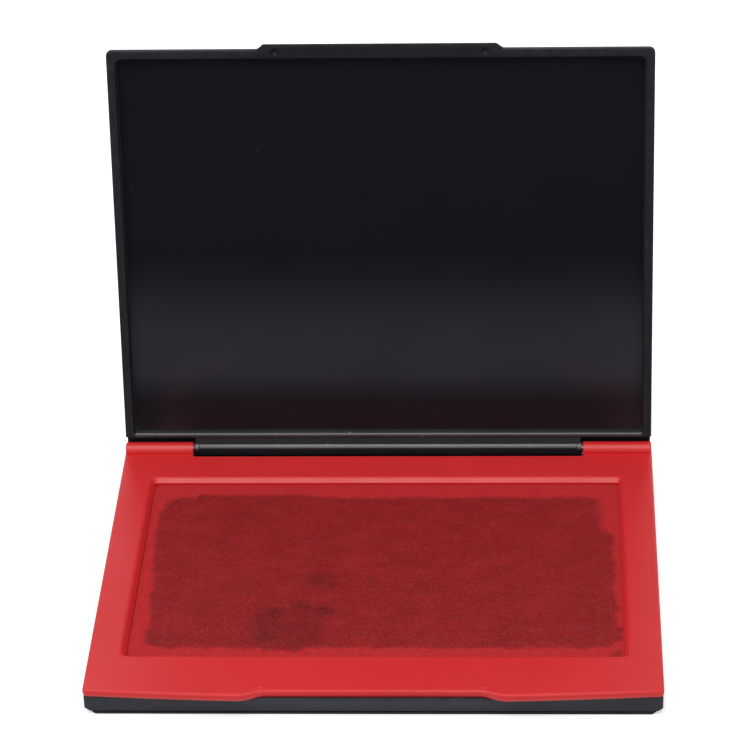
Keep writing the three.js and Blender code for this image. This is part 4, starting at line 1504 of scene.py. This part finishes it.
def flat_sheet(name, half_x, low_y, high_y, height, material):
    mesh = bpy.data.meshes.new(name)
    plan = [(-half_x, low_y), (half_x, low_y), (half_x, high_y), (-half_x, high_y)]
    mesh.from_pydata([(x, y, height) for x, y in plan], [], [(0, 1, 2, 3)])
    mesh.materials.append(material)
    sheet = new_piece(name, mesh)
    return sheet


flat_sheet("table", TABLE_HALF, -TABLE_HALF, TABLE_HALF, 0, white_table())
print("table is", 2 * TABLE_HALF, "m wide")

# %% [markdown]
# A glossy black panel shows whatever lies in front of it, and a white table would turn it grey. A
# photographer lays a black card in front of such an object, just outside the picture, to keep black black.
# The card only answers to reflections: it takes no light from the object and casts no shade.

# %% Black card
CARD_START = FRONT_Y - 9 * MM
CARD_END = FRONT_Y - 700 * MM
CARD_HALF = 0.6
CARD_HEIGHT = 0.5 * MM
CARD_GRAIN = 3 * MM
CARD_BLACKS = ((0.012, 0.012, 0.014, 1), (0.020, 0.020, 0.022, 1))


def black_paper():
    material, tree, shader, place = new_finish("black paper")
    pulp = noise(tree, place, CARD_GRAIN, detail=3.0, seed=17.0)
    link(tree, mix_colour(tree, pulp, *CARD_BLACKS), shader, "Base Color")
    set_evenly(shader, MATT)
    return material


card = flat_sheet("black card", CARD_HALF, CARD_END, CARD_START, CARD_HEIGHT, black_paper())
card.visible_camera = False
card.visible_diffuse = False
card.visible_shadow = False
print("card starts", round((FRONT_Y - CARD_START) / MM), "mm in front of the case")

# %% Lamp and room
LAMP_PLACE = Vector((-0.16, -0.34, 0.92))
LAMP_AIM = Vector((0, 0, 0.02))
LAMP_WIDTH = 0.9
LAMP_LENGTH = 0.7
LAMP_POWER = 7.5
ROOM_LIGHT = 0.48

softbox = bpy.data.lights.new("softbox", "AREA")
softbox.shape = "RECTANGLE"
softbox.size = LAMP_WIDTH
softbox.size_y = LAMP_LENGTH
softbox.energy = LAMP_POWER
lamp = bpy.data.objects.new("softbox", softbox)
bpy.context.scene.collection.objects.link(lamp)
lamp.location = LAMP_PLACE
lamp.rotation_euler = (LAMP_AIM - LAMP_PLACE).to_track_quat("-Z", "Y").to_euler()
lamp.visible_camera = False

room_light = bpy.data.worlds.new("white room")
room_light.use_nodes = True
bpy.context.scene.world = room_light
tree = room_light.node_tree
backdrop = tree.nodes["Background"]
backdrop.inputs["Color"].default_value = (1, 1, 1, 1)
seen = maths(tree, "ADD", seen_by_camera(tree), seen_in_mirrors(tree))
link(tree, spread(tree, seen, 0.0, 1.0, ROOM_LIGHT, 1.0), backdrop, "Strength")
print("lamp of", LAMP_POWER, "W over the pad")

# %% View
bpy.context.scene.view_settings.view_transform = "Standard"
